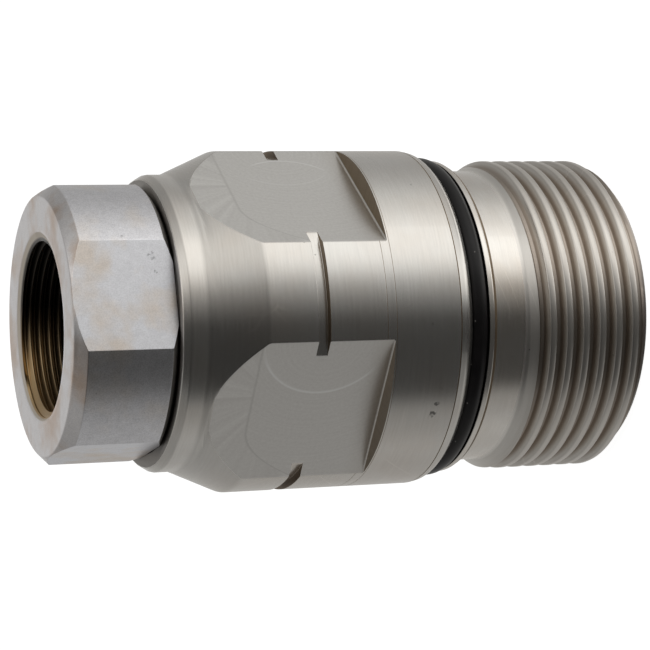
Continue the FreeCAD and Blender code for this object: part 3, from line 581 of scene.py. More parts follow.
# A dark brown copy, painted shade, for the sleeve's narrow grooves, the marking groove's walls and
# the land's chamfer.
groove_steel = blasted("groove_steel_painted_shade", "#8A7A66", "#5E5040", 0.45, 0.4, 0.003)
print("made", blasted_steel.name, hose_flat_steel.name, adapter_steel.name, groove_steel.name)

# %% [markdown]
# ## The oily port
# Inside the port, oil has left a golden brown film on the thread, just below the mouth. The chamfer
# at the mouth is wiped clean. Further down, and towards one side, the thread is painted nearly
# black: that darkening is painted shade, for the deep hole.

# %% The port's thread
PORT_CLEAN, PORT_LIT, PORT_DARK = 136.85, 136.5, 125.0


def oily_bore_painted_shade(name, clean, mouth, deep, rough):
    """The mouth's colour, the oil's golden brown, turns into the deep one with height, made uneven
    by noise, and towards one side; that darkening is painted shade. Above the thread's first turn
    the plating is clean."""
    material, tree = new_material(name)
    place = add(tree, "TexCoord").outputs["Object"]
    split = add(tree, "SeparateXYZ", place)
    shade_film = add(tree, "TexNoise", Vector=place, Scale=1 / (0.5 * MM), Detail=4.0, Roughness=0.6)
    uneven = add(tree, "Math", shade_film, 3 * MM, split.outputs["Z"], operation="MULTIPLY_ADD")
    # Painted shade: the thread turns darker with depth and towards one side.
    down = add(
        tree, "MapRange", Value=uneven, From_Min=(PORT_LIT + 1.5) * MM,
        From_Max=(PORT_DARK + 1.5) * MM
    )
    shaded_side = add(tree, "MapRange", Value=split.outputs["X"], From_Min=-12 * MM, From_Max=5 * MM)
    deep_share = add(tree, "Math", down, shaded_side, operation="MAXIMUM")
    oil_and_shade_colour = add(tree, "Mix", deep_share, A=linear(mouth), B=linear(deep), data_type="RGBA")
    above = add(
        tree, "MapRange", Value=split.outputs["Z"], From_Min=PORT_CLEAN * MM,
        From_Max=(PORT_CLEAN + 0.15) * MM
    )
    colour = add(tree, "Mix", above, A=oil_and_shade_colour, B=linear(clean), data_type="RGBA")
    grip = add(tree, "MapRange", Value=above, To_Min=rough, To_Max=0.6)
    return finished(material, colour, grip, shade_film, 0.003, Metallic=1.0)


port_steel = oily_bore_painted_shade("oil_tinted_thread_steel_painted_shade", "#DDD5CA", "#C8AC82", "#45403A", 0.32)
print("made", port_steel.name)

# %% [markdown]
# ## The gap between sleeve and hose end
# Where the hose end meets the sleeve's end face the parts turn against each other, and shade falls
# into the corner between them. That shade is painted: the corner is nearly black, and the painted
# shade thins out from it. The distance from the corner is worked out from two numbers: the distance
# from the axis and the height. On both sides, far from the middle in x, the painted shade is left
# out, so there the steel shows.

# %% A painted shade that starts at a corner
GAP_R, GAP_HEIGHT = 30.9, 113.75


def gap_painted_shade(name, plate, shade_film, reach, rough):
    """The painted shade's colour at the corner turns into the plate's over reach millimetres."""
    material, tree = new_material(name)
    place = add(tree, "TexCoord").outputs["Object"]
    out = from_axis(tree, place)
    split = add(tree, "SeparateXYZ", place)
    profile = add(tree, "CombineXYZ", X=out, Y=split.outputs["Z"])
    away = add(
        tree, "VectorMath", profile, (GAP_R * MM, GAP_HEIGHT * MM, 0.0), operation="DISTANCE"
    )
    shade_noise = add(tree, "TexNoise", Vector=place, Scale=1 / (0.9 * MM), Detail=4.0, Roughness=0.6)
    uneven = add(tree, "Math", shade_noise, 0.5 * MM, away, operation="MULTIPLY_ADD")
    thin = add(tree, "MapRange", Value=uneven, From_Min=0.4 * MM, From_Max=reach * MM)
    # The painted shade fades out on both sides, from 25 to 30.5 mm off the middle in x.
    sideways = add(tree, "Math", split.outputs["X"], operation="ABSOLUTE")
    unshaded_sides = add(tree, "MapRange", Value=sideways, From_Min=25 * MM, From_Max=30.5 * MM)
    share = add(tree, "Math", thin, unshaded_sides, operation="MAXIMUM")
    colour = add(tree, "Mix", share, A=linear(shade_film), B=linear(plate), data_type="RGBA")
    return finished(material, colour, rough, shade_noise, 0.004, Metallic=1.0)


# The sleeve's end face and the hose end's rear chamfer both carry the gap's painted shade.
end_face_steel = gap_painted_shade("end_face_steel_painted_shade", "#A9A6A2", "#2B2622", 1.7, 0.55)
chamfer_steel = gap_painted_shade("chamfer_steel_painted_shade", "#B5B2AE", "#2B2622", 1.4, 0.55)
print("made", end_face_steel.name, "and", chamfer_steel.name)

# %% [markdown]
# ## The sleeve's outline
# The profile runs up the outside: over the thread and the neck behind it, the O-ring's groove, the
# body and the cone to the rear lip. Then it goes back down the inside. The numbers repeat the
# construction drawing.

# %% The sleeve's profiles
NECK_R, CREST_R, ROOT_R = 35.0, 37.4, 35.2
BODY_R, GROOVE_R, FLAT_AT = 39.9, 38.2, 35.0
THREAD_END, FLATS_FROM, SLEEVE_TOP = 31.6, 66.0, 113.65
FLAT_TURN = 54.2

thread_outline = rounded([
        (34.2, 0, 0), (CREST_R, 3.2, 0.3), (CREST_R, 27.9, 0.6), (NECK_R, 30.9, 1.2),
        (NECK_R, THREAD_END, 0)
])
lower_outline = rounded([
        (NECK_R, THREAD_END, 0), (NECK_R, 39.7, 0.3), (36.9, 39.7, 0.12), (37.5, 40.7, 0.12),
        (37.5, 41.8, 0.2), (33.8, 41.8, 0.3), (33.8, 46.4, 0.3), (38.1, 46.4, 0.2),
        (39.5, 47.9, 0.6), (BODY_R - 0.03, 49.7, 0.05), (BODY_R - 0.11, 49.85, 0.02),
        (BODY_R, 49.98, 0.03), (BODY_R, 65.55, 0.02), (BODY_R - 0.02, 65.65, 0.02),
        (BODY_R - 0.005, 65.78, 0.02), (BODY_R, FLATS_FROM, 0)
])
upper_outline = rounded([
        (BODY_R, FLATS_FROM, 0), (BODY_R, 67.75, 0.02), (BODY_R - 0.02, 67.85, 0.02),
        (BODY_R, 67.98, 0.02), (BODY_R, 81.5, 0.12), (GROOVE_R, 81.5, 0.15),
        (GROOVE_R, 84.25, 0.15), (BODY_R, 84.25, 0.12), (BODY_R, 95.7, 0.5), (34.5, 107.9, 0.5),
        (34.5, 111.9, 0.25), (33.4, SLEEVE_TOP, 0.35), (30.2, SLEEVE_TOP, 0)
])
inner_outline = rounded([
        (30.2, SLEEVE_TOP, 0), (30.2, 103.5, 0.05), (30.0, 103.5, 0.05), (30.0, 88.0, 0.2),
        (26.65, 88.0, 0.2), (26.65, 80.0, 0.2), (31.0, 80.0, 0.3), (31.0, 0.8, 0.15),
        (31.8, 0, 0.15), (34.2, 0, 0)
])

# %% [markdown]
# ## The sleeve's surface
# Four zones are stacked into one grid: the thread with its climbing rows, the plain part, the
# part with flats, and the inside. All share the same columns, closest together at the edges of
# the flats and where the groove meets them. The thread's groove runs out where the shop's tool
# was drawn back, which is a smooth fade over part of a turn.

# %% The sleeve's columns
EDGE_ROUND, SLEEVE_SPREAD = 0.12, 0.66
edge_full = math.degrees(math.acos(FLAT_AT / BODY_R))
groove_edge = math.degrees(math.acos(FLAT_AT / GROOVE_R)) / edge_full
crossing = groove_edge + np.array([-0.02, -0.006, 0, 0.006, 0.02])
near_edge = 1 - np.array([0.030, 0.0175, 0.011, 0.0055])
half = np.concatenate([[0.14, 0.28, 0.42, 0.56, 0.68], crossing, [0.91], near_edge, [1]])
flat_shares = np.concatenate([-half[::-1], [0], half])
ridge_near = np.array([0.005, 0.010, 0.016, 0.030])
ridge_shares = np.concatenate([ridge_near, np.linspace(0.07, 0.93, 13), 1 - ridge_near[::-1]])
fixed_angle = milled_columns([edge_full], 4, FLAT_TURN, flat_shares, ridge_shares)[0][0]
columns = len(fixed_angle)
print("columns round the sleeve:", columns)

# %% The thread's zone
PITCH, THREAD_FIRST, THREAD_TURNS = 4.233, 3.33, np.arange(-2, 9)
RUN_OUT = (2135, 70)  # degrees of winding: where the groove starts to fade, and over how many
across, down = groove_profile(PITCH, 0.5, 1.35, CREST_R - ROOT_R, 0.38)
height, depth, made = helical_rows(across, down, PITCH, THREAD_FIRST, THREAD_TURNS, fixed_angle)
depth = depth * (1 - eased(made, *RUN_OUT))
held = np.where(height > THREAD_END - 1e-3, THREAD_END, np.clip(height, 0, THREAD_END))
plain = np.interp(held, thread_outline[:, 1], thread_outline[:, 0])
radius = soft_min(plain, np.where(depth > 1e-4, CREST_R - depth, CREST_R + 1), 0.14)
radius = np.where(held > THREAD_END - 1e-6, NECK_R, radius)
thread_grid = swept(radius, held, np.broadcast_to(fixed_angle, held.shape))
thread_grid[: -len(across), -1] = thread_grid[len(across) :, 0]  # the last column, a turn later
thread_run = np.broadcast_to(np.radians(fixed_angle) * CREST_R, held.shape)
thread_uv = np.stack([thread_run, held * 1.4], -1)
print("thread:", CREST_R - ROOT_R, "mm deep, rows and columns", radius.shape)

# %% [markdown]
# ## The sleeve's flats
# At the lower end of each flat the cutter leaves a wall with a small fillet, which is a few extra
# rows where the flat's distance rises to the wall. Each row knows its turned radius, its height
# and the flat's distance. Above the cone's foot the flats' edges follow the cone.

# %% The zone with flats
FILLET, LIFTS = 0.3, np.array([0, 0.02, 0.07, 0.15, 0.3, 0.4])
NO_FLAT, CONE_FROM = 999, 95.3
upper = with_rows(upper_outline, 0.9)
fillet_rows = np.column_stack([np.full(len(LIFTS), BODY_R), FLATS_FROM + LIFTS])
drop = FILLET - np.minimum(LIFTS, FILLET)
fillet_at = FLAT_AT + FILLET - np.sqrt(np.clip(FILLET**2 - drop**2, 0, None))
keep = upper[:, 1] > FLATS_FROM + 1.0
upper = np.vstack([fillet_rows[:1], fillet_rows, upper[keep]])
flat_at = np.concatenate([[NO_FLAT], fillet_at, np.full(keep.sum(), FLAT_AT)])
outline_r = np.where(upper[:, 1] < CONE_FROM, BODY_R, upper[:, 0])
edge = np.degrees(np.arccos(np.clip(FLAT_AT / outline_r, -1, 1)))
edge = np.where(outline_r <= FLAT_AT, 0, edge)
upper_angle, upper_local = milled_columns(edge, 4, FLAT_TURN, flat_shares, ridge_shares)
plane = flat_at[:, None] / np.cos(np.radians(upper_local))
upper_r = soft_min(np.broadcast_to(upper[:, :1], plane.shape), plane, EDGE_ROUND)
upper_grid = swept(upper_r, upper[:, 1:], upper_angle)
on_flat = np.abs(upper_r - plane) < 0.02
print("rows with flats:", len(upper))

# %% The flats' place on the surface map
turned_uv = [upper_angle * SLEEVE_SPREAD, run_length(upper)[:, None] + 30]
turned_uv = np.stack(np.broadcast_arrays(*turned_uv), -1)
flat_number = np.arange(columns) * 4 // (columns - 1) % 4
flat_across = upper_r * np.sin(np.radians(upper_local)) + FLAT_STEP * flat_number
flat_uv = np.stack([flat_across, np.broadcast_to(upper[:, 1:], upper_r.shape)], -1)
upper_uv = np.where(on_flat[..., None], flat_uv, turned_uv)
upper_uv[0] = flat_uv[0]

lower = with_rows(lower_outline, 4.0)
lower_grid, lower_uv = turned_zone(lower, fixed_angle, 40, SLEEVE_SPREAD)
inner_grid, inner_uv = turned_zone(with_rows(inner_outline, 6.0), fixed_angle, 200, SLEEVE_SPREAD)
grid = np.concatenate([thread_grid, lower_grid, upper_grid, inner_grid])
uv = np.concatenate([thread_uv, lower_uv, upper_uv, inner_uv])
print("the sleeve's rows and columns:", grid.shape[:2])

# %% [markdown]
# ## Which finish each cell of the sleeve gets
# The grid's cells are numbered by finish. Flats and their walls are found from the shape itself.
# Turned bands are found by their heights: the neck, the marking groove's two walls, and the fine
# dark lines at the shoulder. The walls, the lines and the land's chamfer get a dark brown finish,
# which is painted shade; the neck and the land get a lighter one, which is painted light.

# %% Finishes by number
sleeve_finishes = [
    sleeve_steel, thread_steel, flat_steel, wall_steel, groove_steel, neck_steel, end_face_steel
]
TURNED, THREAD, FLAT, WALL, GROOVE, NECK, END_FACE = range(len(sleeve_finishes))
part = np.zeros((len(grid) - 1, columns - 1), int)
part[: len(thread_grid)] = THREAD
lower_from = len(thread_grid)
upper_from = lower_from + len(lower_grid)
cell = on_flat[:-1, :-1] & on_flat[1:, 1:] & on_flat[:-1, 1:] & on_flat[1:, :-1]
cell[0] = False
part[upper_from : upper_from + len(upper) - 1] = np.where(cell, FLAT, TURNED)
part[upper_from, np.abs(upper_r[1, :-1] - upper_r[0, :-1]) > 1e-3] = WALL


def finish_band(rows, first, low, high, number, inside=BODY_R + 1, steps_only=False):
    """Gives a zone's turned cells between two heights a finish, if they lie inside a radius and,
    where asked, only where the profile steps in or out."""
    middle = (rows[1:] + rows[:-1]) / 2
    steep = np.abs(np.diff(rows[:, 0])) > 0.3 * np.abs(np.diff(rows[:, 1]))
    chosen = (middle[:, 1] > low) & (middle[:, 1] < high) & (middle[:, 0] < inside)
    chosen = chosen & (steep | (not steps_only))
    zone = part[first : first + len(rows) - 1]
    zone[chosen[:, None] & (zone == TURNED)] = number


# These bands take the dark groove finish, which is painted shade.
finish_band(upper, upper_from, 81.3, 84.5, GROOVE, steps_only=True)
finish_band(upper, upper_from, 67.78, 67.9, GROOVE)
# The sleeve's end face takes the gap's painted shade.
finish_band(upper, upper_from, SLEEVE_TOP - 0.05, SLEEVE_TOP + 1, END_FACE, inside=33.35)
# The neck and land are painted lighter, and the land's chamfer and the fine lines darker: painted
# light and painted shade.
for low, high, number in (
    (THREAD_END - 1, 39.69, NECK), (39.69, 40.55, GROOVE), (40.55, 41.75, NECK),
    (49.72, 49.97, GROOVE), (65.58, 65.7, GROOVE),
):
    finish_band(lower, lower_from, low, high, number)
sleeve = grid_mesh("sleeve_surface", grid, uv, part, sleeve_finishes)
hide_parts("threaded_sleeve")
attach(sleeve, "sleeve")

# %% [markdown]
# ## The hose end's outline
# A round body with four flats for the wrench. It is turned off at 45 degrees in front and at a
# steeper angle behind, and below it come a short neck, the bearing land that runs in the sleeve,
# and a skirt over the body's spigot. Its inside is the port with a pipe thread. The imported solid
# has eight sides here. Four of them are round on the real part, and they are drawn round.

# %% The hose end's profiles
SIDE_AT, SIDE_TURN, HOSE_R = 30.0, 12.5, 32.46
PORT_R, PORT_MAJOR_R, MOUTH_R = 19.5, 20.95, 21.6
HOSE_FROM, HOSE_TOP, PORT_END = 113.8, 137.4, 113.4

shank_outline = rounded([
        (25.6, 92.4, 0), (25.6, 90.0, 0.2), (29.95, 90.0, 0.25), (29.95, 99.8, 0.1),
        (28.45, 99.8, 0.1), (28.45, 101.6, 0.1), (29.95, 101.6, 0.1), (29.95, 103.0, 0.25),
        (29.4, 103.0, 0.1), (29.4, HOSE_FROM, 0)
])
side_outline = rounded([
        (29.4, HOSE_FROM, 0), (30.8, HOSE_FROM, 0.1), (HOSE_R, 115.45, 0.15),
        (HOSE_R, 134.75, 0.15), (29.85, HOSE_TOP, 0.25), (MOUTH_R, HOSE_TOP, 0)
], guard=0.15)
port_outline = rounded([
        (MOUTH_R, HOSE_TOP, 0), (21.0, 137.05, 0.1), (PORT_R, 136.7, 0.1), (PORT_R, PORT_END, 0)
])
back_outline = rounded([
        (PORT_R, PORT_END, 0), (15.5, PORT_END, 0.3), (15.5, 111.4, 0.3), (22.6, 104.6, 0.2),
        (25.6, 104.6, 0.2), (25.6, 96.12, 0.05), (27.86, 96.12, 0.1), (27.86, 92.4, 0.1),
        (25.6, 92.4, 0)
])

# %% [markdown]
# ## The hose end's surface
# The flats are drawn as on the sleeve. Where the chamfers are turned, the flats' edges come
# together again. The port's thread is drawn the same way as the sleeve's, but inside: its rows
# run downwards, and the larger of two radii is kept, as a hole grows where metal is cut away.

# %% The outside of the hose end
HOSE_SPREAD, BORE_SPREAD = 0.5, 0.34
side_edge = math.degrees(math.acos(SIDE_AT / HOSE_R))
side_half = np.array([0.2, 0.4, 0.6, 0.75, 0.88, 0.95, 0.985, 0.998, 1])
side_shares = np.concatenate([-side_half[::-1], [0], side_half])
round_near = np.array([0.001, 0.007, 0.022])
round_shares = np.concatenate([round_near, np.linspace(0.05, 0.95, 19), 1 - round_near[::-1]])
side = with_rows(side_outline, 1.1)
turned_r = side[:, 0]
edge = np.degrees(np.arccos(SIDE_AT / np.maximum(turned_r, SIDE_AT)))
smallest = np.where(side[:, 1] > 125, MOUTH_R, side[0, 0])
edge = np.maximum(edge, side_edge * np.clip((SIDE_AT - turned_r) / (SIDE_AT - smallest), 0, 1))
side_angle, side_local = milled_columns(edge, 4, SIDE_TURN, side_shares, round_shares)
plane = SIDE_AT / np.cos(np.radians(side_local))
side_r = soft_min(np.broadcast_to(side[:, :1], plane.shape), plane, 0.012)
side_grid = swept(side_r, side[:, 1:], side_angle)
still_angle = milled_columns([side_edge], 4, SIDE_TURN, side_shares, round_shares)[0][0]
on_side = np.abs(side_r - plane) < 0.03
side_across = side_r * np.sin(np.radians(side_local))
flat_uv = np.stack([side_across, np.broadcast_to(side[:, 1:], side_r.shape)], -1)
turned_uv = [side_angle * HOSE_SPREAD, run_length(side)[:, None] + 60]
turned_uv = np.stack(np.broadcast_arrays(*turned_uv), -1)
side_uv = np.where(on_side[..., None], flat_uv, turned_uv)
print("half a flat spans", round(side_edge, 1), "degrees")

# %% The port's thread
PIPE_PITCH, PIPE_FIRST, PIPE_TURNS = 2.309, 112.2, np.arange(12, -3, -1)
RUN_IN = (900, 180)  # degrees of winding: where the thread starts, and over how many it grows
across, down = groove_profile(PIPE_PITCH, 0.19, 0.96, PORT_MAJOR_R - PORT_R, 0.28)
height, depth, made = helical_rows(-across, down, PIPE_PITCH, PIPE_FIRST, PIPE_TURNS, still_angle)
depth = depth * eased(made, *RUN_IN)
held = np.clip(height, PORT_END, HOSE_TOP)
plain = np.interp(-held, -port_outline[:, 1], port_outline[:, 0])
bore_r = soft_max(plain, np.where(depth > 1e-4, PORT_R + depth, PORT_R - 1), 0.1)
bore_r = np.where(held > HOSE_TOP - 1e-6, MOUTH_R, bore_r)
bore_grid = swept(bore_r, held, np.broadcast_to(still_angle, held.shape))
bore_grid[len(across) :, -1] = bore_grid[: -len(across), 0]
bore_run = np.broadcast_to(still_angle * BORE_SPREAD, held.shape)
bore_uv = np.stack([bore_run, bore_r * 2 - held], -1)
print("port's thread:", round(PORT_MAJOR_R - PORT_R, 2), "mm deep")

# %% The whole hose end, and its finishes by number
shank_grid, shank_uv = turned_zone(with_rows(shank_outline, 4.0), still_angle, 0, HOSE_SPREAD)
back_grid, back_uv = turned_zone(with_rows(back_outline, 4.0), still_angle, 300, HOSE_SPREAD)
hose_grid = np.concatenate([shank_grid, side_grid, bore_grid, back_grid])
hose_uv = np.concatenate([shank_uv, side_uv, bore_uv, back_uv])
hose_end_finishes = [adapter_steel, hose_flat_steel, port_steel, chamfer_steel, blasted_steel]
TURNED, FLAT, PORT, CHAMFER, BLASTED = range(len(hose_end_finishes))
part = np.zeros((len(hose_grid) - 1, len(still_angle) - 1), int)
side_from = len(shank_grid)
bore_from = side_from + len(side_grid)
cell = on_side[:-1, :-1] & on_side[1:, 1:] & on_side[:-1, 1:] & on_side[1:, :-1]
middle = (side[1:, 1:] + side[:-1, 1:]) / 2
# Below 115.4 mm the turned chamfer takes the gap's painted shade.
turned_finish = np.where(middle < 115.4, CHAMFER, np.where(middle < 134.7, BLASTED, TURNED))
part[side_from : bore_from - 1] = np.where(cell, FLAT, turned_finish)
part[bore_from : bore_from + len(bore_grid)] = PORT
hose_end = grid_mesh("hose_end_surface", hose_grid, hose_uv, part, hose_end_finishes)
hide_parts("port_adapter")
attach(hose_end, "core")

# %% [markdown]
# ## O-rings
# An O-ring is a circle carried round a bigger circle. The one beside the shoulder shows in full,
# so it gets its own smooth surface. It sits in its groove with a light squeeze, and it stands a
# little proud of the land beside it, because it seals against the mating half's sleeve.

# %% The ring beside the shoulder
def ring_surface(name, radius, section, height, material):
    """Distance from the axis = radius + section cos(s), height = height + section sin(s)."""
    s = np.linspace(0, 2 * math.pi, 41)[:, None]
    closed = np.append(s[:-1], s[:1], axis=0)
    turn = np.broadcast_to(np.linspace(0, 360, 241), (len(s), 241))
    out, up = radius + section * np.cos(closed), height + section * np.sin(closed)
    uv = np.stack(np.broadcast_arrays(np.radians(turn) * radius, s * section), -1)
    return grid_mesh(name, swept(out, up, turn), uv, 0, [material])


def soft_rubber(name, light, dust, rough):
    """Moulded rubber: nearly black, with a grey bloom and a few specks of dust on it."""
    material, tree = new_material(name)
    place = add(tree, "TexCoord").outputs["Object"]
    bloom = add(tree, "TexNoise", Vector=place, Scale=260.0, Detail=5.0, Roughness=0.6)
    specks = add(tree, "TexVoronoi", Vector=place, Scale=1 / (3.0 * MM))
    dot = add(tree, "MapRange", Value=specks, From_Min=0.03, From_Max=0.07, To_Min=0.6, To_Max=0.0)
    tone = add(tree, "MapRange", Value=bloom, From_Min=0.35, From_Max=0.7)
    colour = add(tree, "Mix", tone, A=linear(light), B=linear(dust), data_type="RGBA")
    dusty = add(tree, "Mix", dot, A=colour, B=linear("#8F8C88"), data_type="RGBA")
    return finished(material, dusty, rough, bloom, 0.01, Specular_IOR_Level=0.3)


black_rubber = soft_rubber("moulded_nitrile_rubber", "#0A090A", "#131112", 0.33)
collar_ring = ring_surface("collar_ring_surface", 36.04, 2.21, 44.1, black_rubber)
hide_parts("collar_seal")
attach(collar_ring, "sleeve")

# %% [markdown]
# ## Coil springs
# A compression spring is round wire wound on a helix. The last turn at each end is laid against
# the next one and ground flat, so that the spring stands square. Here the pitch is small in the
# end turns and wide between them, and points past the ends are laid on the ground face.

# %% The two springs
def drawn_wire(name, light, shade, rough):
    """Drawn and oiled spring wire: fine lines along the wire, from noise stretched ten to one."""
    material, tree = new_material(name)
    where = add(tree, "UVMap", uv_map="surface_mm")
    stretch = add(tree, "Mapping", Vector=where, Scale=(4.0, 0.4, 1.0))
    lines = add(tree, "TexNoise", Vector=stretch, Scale=1.0, Detail=4.0, Roughness=0.6)
    colour = add(tree, "Mix", lines, A=linear(shade), B=linear(light), data_type="RGBA")
    return finished(material, colour, rough, lines, 0.004, Metallic=1.0)


GROUND = 0.02  # the ground ends stay this far inside the spring's length


def spring_surface(name, coil_r, wire_d, bottom, top, turns, material):
    """A point is the wire's middle plus half the wire's width, cos(s) outwards and -sin(s) up. The
    middle climbs wire_d a turn in the first and last turn, and evenly between them. A mean over
    seventeen points smooths the change of pitch."""
    n = np.linspace(0, turns, int(turns * 48) + 1)
    climb = top - bottom - wire_d
    climbed = np.interp(n, [0, 1, turns - 1, turns], [0, wire_d, climb - wire_d, climb])
    middle = np.pad(bottom + wire_d / 2 + climbed, 8, mode="edge")
    middle = np.convolve(middle, np.ones(17) / 17, mode="valid")
    s = np.linspace(0, 2 * math.pi, 17)
    s = np.append(s[:-1], s[0])
    half = np.full(len(n), wire_d / 2)
    half[[0, -1]] = 0
    out = coil_r + half[:, None] * np.cos(s)
    up = np.clip(middle[:, None] - half[:, None] * np.sin(s), bottom + GROUND, top - GROUND)
    turn = 2 * math.pi * n[:, None]
    grid = np.stack([out * np.cos(turn), out * np.sin(turn), up], -1)
    uv = np.stack(np.broadcast_arrays(np.linspace(0, 3.14 * wire_d, 17)[None], turn * coil_r), -1)
    return grid_mesh(name, grid, uv, 0, [material])


spring_steel = drawn_wire("drawn_spring_wire", "#A9A29A", "#6F675E", 0.33)
main_coil = spring_surface("main_spring_surface", 13.4, 3.0, 12.4, 61.8, 7.5, spring_steel)
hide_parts("main_spring")
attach(main_coil, "core")
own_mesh(main_coil)
relief_coil = spring_surface("relief_spring_surface", 3.7, 1.1, 8.0, 38.0, 11.0, spring_steel)
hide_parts("relief_spring")
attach(relief_coil, "poppet_unit")
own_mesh(relief_coil)

# %% [markdown]
# ## The pieces inside
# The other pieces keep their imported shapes, which have no UV map, so their finishes read the
# object's own coordinates. All of them are turned about the same axis, so a ring mark is noise
# read from two numbers only: the distance from the axis, and the height.

# %% Turned finishes for the inner pieces
def lathe_metal(name, light, shade, rough, spacing, depth):
    """Rings are noise of distance from the axis and height, spacing mm wide, over clouds."""
    material, tree = new_material(name)
    place = add(tree, "TexCoord").outputs["Object"]
    out = from_axis(tree, place)
    split = add(tree, "SeparateXYZ", place)
    profile = add(tree, "CombineXYZ", X=out, Y=split.outputs["Z"])
    rings = add(
        tree, "TexNoise", Vector=profile, Scale=1 / (spacing * MM), Detail=3.0, Roughness=0.6
    )
    clouds = add(tree, "TexNoise", Vector=place, Scale=90.0, Detail=4.0, Roughness=0.6)
    tone = add(tree, "Math", rings, 0.4, clouds, operation="MULTIPLY_ADD")
    share = add(tree, "MapRange", Value=tone, From_Min=0.45, From_Max=0.95)
    colour = add(tree, "Mix", share, A=linear(shade), B=linear(light), data_type="RGBA")
    grip = add(
        tree, "MapRange", Value=rings, From_Min=0.3, From_Max=0.7, To_Min=rough - 0.04,
        To_Max=rough + 0.05
    )
    return finished(material, colour, grip, rings, depth, Metallic=1.0)


inner_steel = lathe_metal("turned_core_steel", "#D4D1CC", "#BDB5AB", 0.28, 0.5, 0.0015)
face_steel = lathe_metal("ground_hardened_steel", "#D9D8D6", "#C7C5C2", 0.2, 0.35, 0.0008)
washer_bronze = lathe_metal("turned_bearing_bronze", "#C79A5E", "#A77A44", 0.32, 0.5, 0.002)
ring_steel = blasted("phosphated_spring_steel", "#6A665F", "#57524A", 0.45, 0.15, 0.004)
print("made", inner_steel.name, face_steel.name, washer_bronze.name, ring_steel.name)

# %% [markdown]
# ## Plastics and the laminate
# Three plastics sit inside: a white backup ring of PTFE, a green polyurethane seal and a brown
# wear strip. PTFE is skived from bar and looks waxy. Polyurethane is moulded and a little
# glossy. The wear strip is cotton cloth in phenolic resin, and its weave shows as small squares,
# 0.6 mm apart.

# %% Plastic finishes
def waxy_plastic(name, light, shade, rough, grain_mm):
    """Pale or tinted plastic: soft clouds, a fine skin at grain_mm, and a little light let in."""
    material, tree = new_material(name)
    place = add(tree, "TexCoord").outputs["Object"]
    clouds = add(tree, "TexNoise", Vector=place, Scale=150.0, Detail=3.0, Roughness=0.5)
    skin = add(
        tree, "TexNoise", Vector=place, Scale=1 / (grain_mm * MM), Detail=2.0, Roughness=0.5
    )
    colour = add(tree, "Mix", clouds, A=linear(light), B=linear(shade), data_type="RGBA")
    return finished(
        material, colour, rough, skin, 0.005, Subsurface_Weight=0.15, Subsurface_Scale=0.5 * MM
    )


STRIP_R = 31  # the wear strip's outer radius


def cloth_laminate(name, light, shade, rough, thread_mm):
    """Cloth in resin: squares from the product of two sine waves, round the strip and along it."""
    material, tree = new_material(name)
    place = add(tree, "TexCoord").outputs["Object"]
    split = add(tree, "SeparateXYZ", place)
    turn = add(tree, "Math", split.outputs["Y"], split.outputs["X"], operation="ARCTAN2")
    threads = round(2 * math.pi * STRIP_R / thread_mm)
    waves = []
    for number, scale in ((turn, threads), (split.outputs["Z"], 2 * math.pi / (thread_mm * MM))):
        angle = add(tree, "Math", number, scale, operation="MULTIPLY")
        waves.append(add(tree, "Math", angle, operation="SINE"))
    weave = add(tree, "Math", *waves, operation="MULTIPLY")
    tone = add(tree, "MapRange", Value=weave, From_Min=-1.0)
    colour = add(tree, "Mix", tone, A=linear(shade), B=linear(light), data_type="RGBA")
    return finished(material, colour, rough, weave, 0.01)


backup_ptfe = waxy_plastic("skived_ptfe", "#EFEDE6", "#E2DFD4", 0.45, 0.3)
seal_polyurethane = waxy_plastic("moulded_polyurethane", "#3F7D58", "#35704C", 0.3, 0.4)
strip_phenolic = cloth_laminate("phenolic_cloth_laminate", "#8A5A34", "#6E4326", 0.4, 0.6)
print("made", backup_ptfe.name, seal_polyurethane.name, strip_phenolic.name)

# %% [markdown]
# ## Giving the inner pieces their finishes
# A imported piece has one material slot. A table of finishes and their pieces keeps this step to one
# loop, and printing what is left over shows at once if a piece was forgotten.

# %% Assign the finishes
FINISHES = {
    inner_steel: ["valve_body", "poppet", "poppet_guide"],
    face_steel: ["poppet_cap", "relief_pin", "spring_seat"],
    washer_bronze: ["upper_thrust_washer", "lower_thrust_washer", "guide_bush"],
    ring_steel: ["snap_ring"],
    black_rubber: ["body_seal", "dust_seal", "relief_seal"],
    backup_ptfe: ["body_backup_ring"],
    seal_polyurethane: ["poppet_seal"],
    strip_phenolic: ["sleeve_wear_ring"],
}
left_over = set(nodes) - {"threaded_sleeve", "port_adapter", "collar_seal"}
left_over -= {"main_spring", "relief_spring"}
for finish, names in FINISHES.items():
    left_over -= set(names)
    for slot in [slot for name in names for slot in nodes[name].material_slots]:
        slot.material = finish
print("pieces without a finish:", sorted(left_over))

# %% [markdown]
# ## The camera
# The photo was measured before anything was drawn: a pinhole camera was fitted to the edges of
# the turned surfaces. Its place, its direction and its focal length are written here as found.
# The part stands on its threaded end, so the camera is turned on its side to show it lying down.

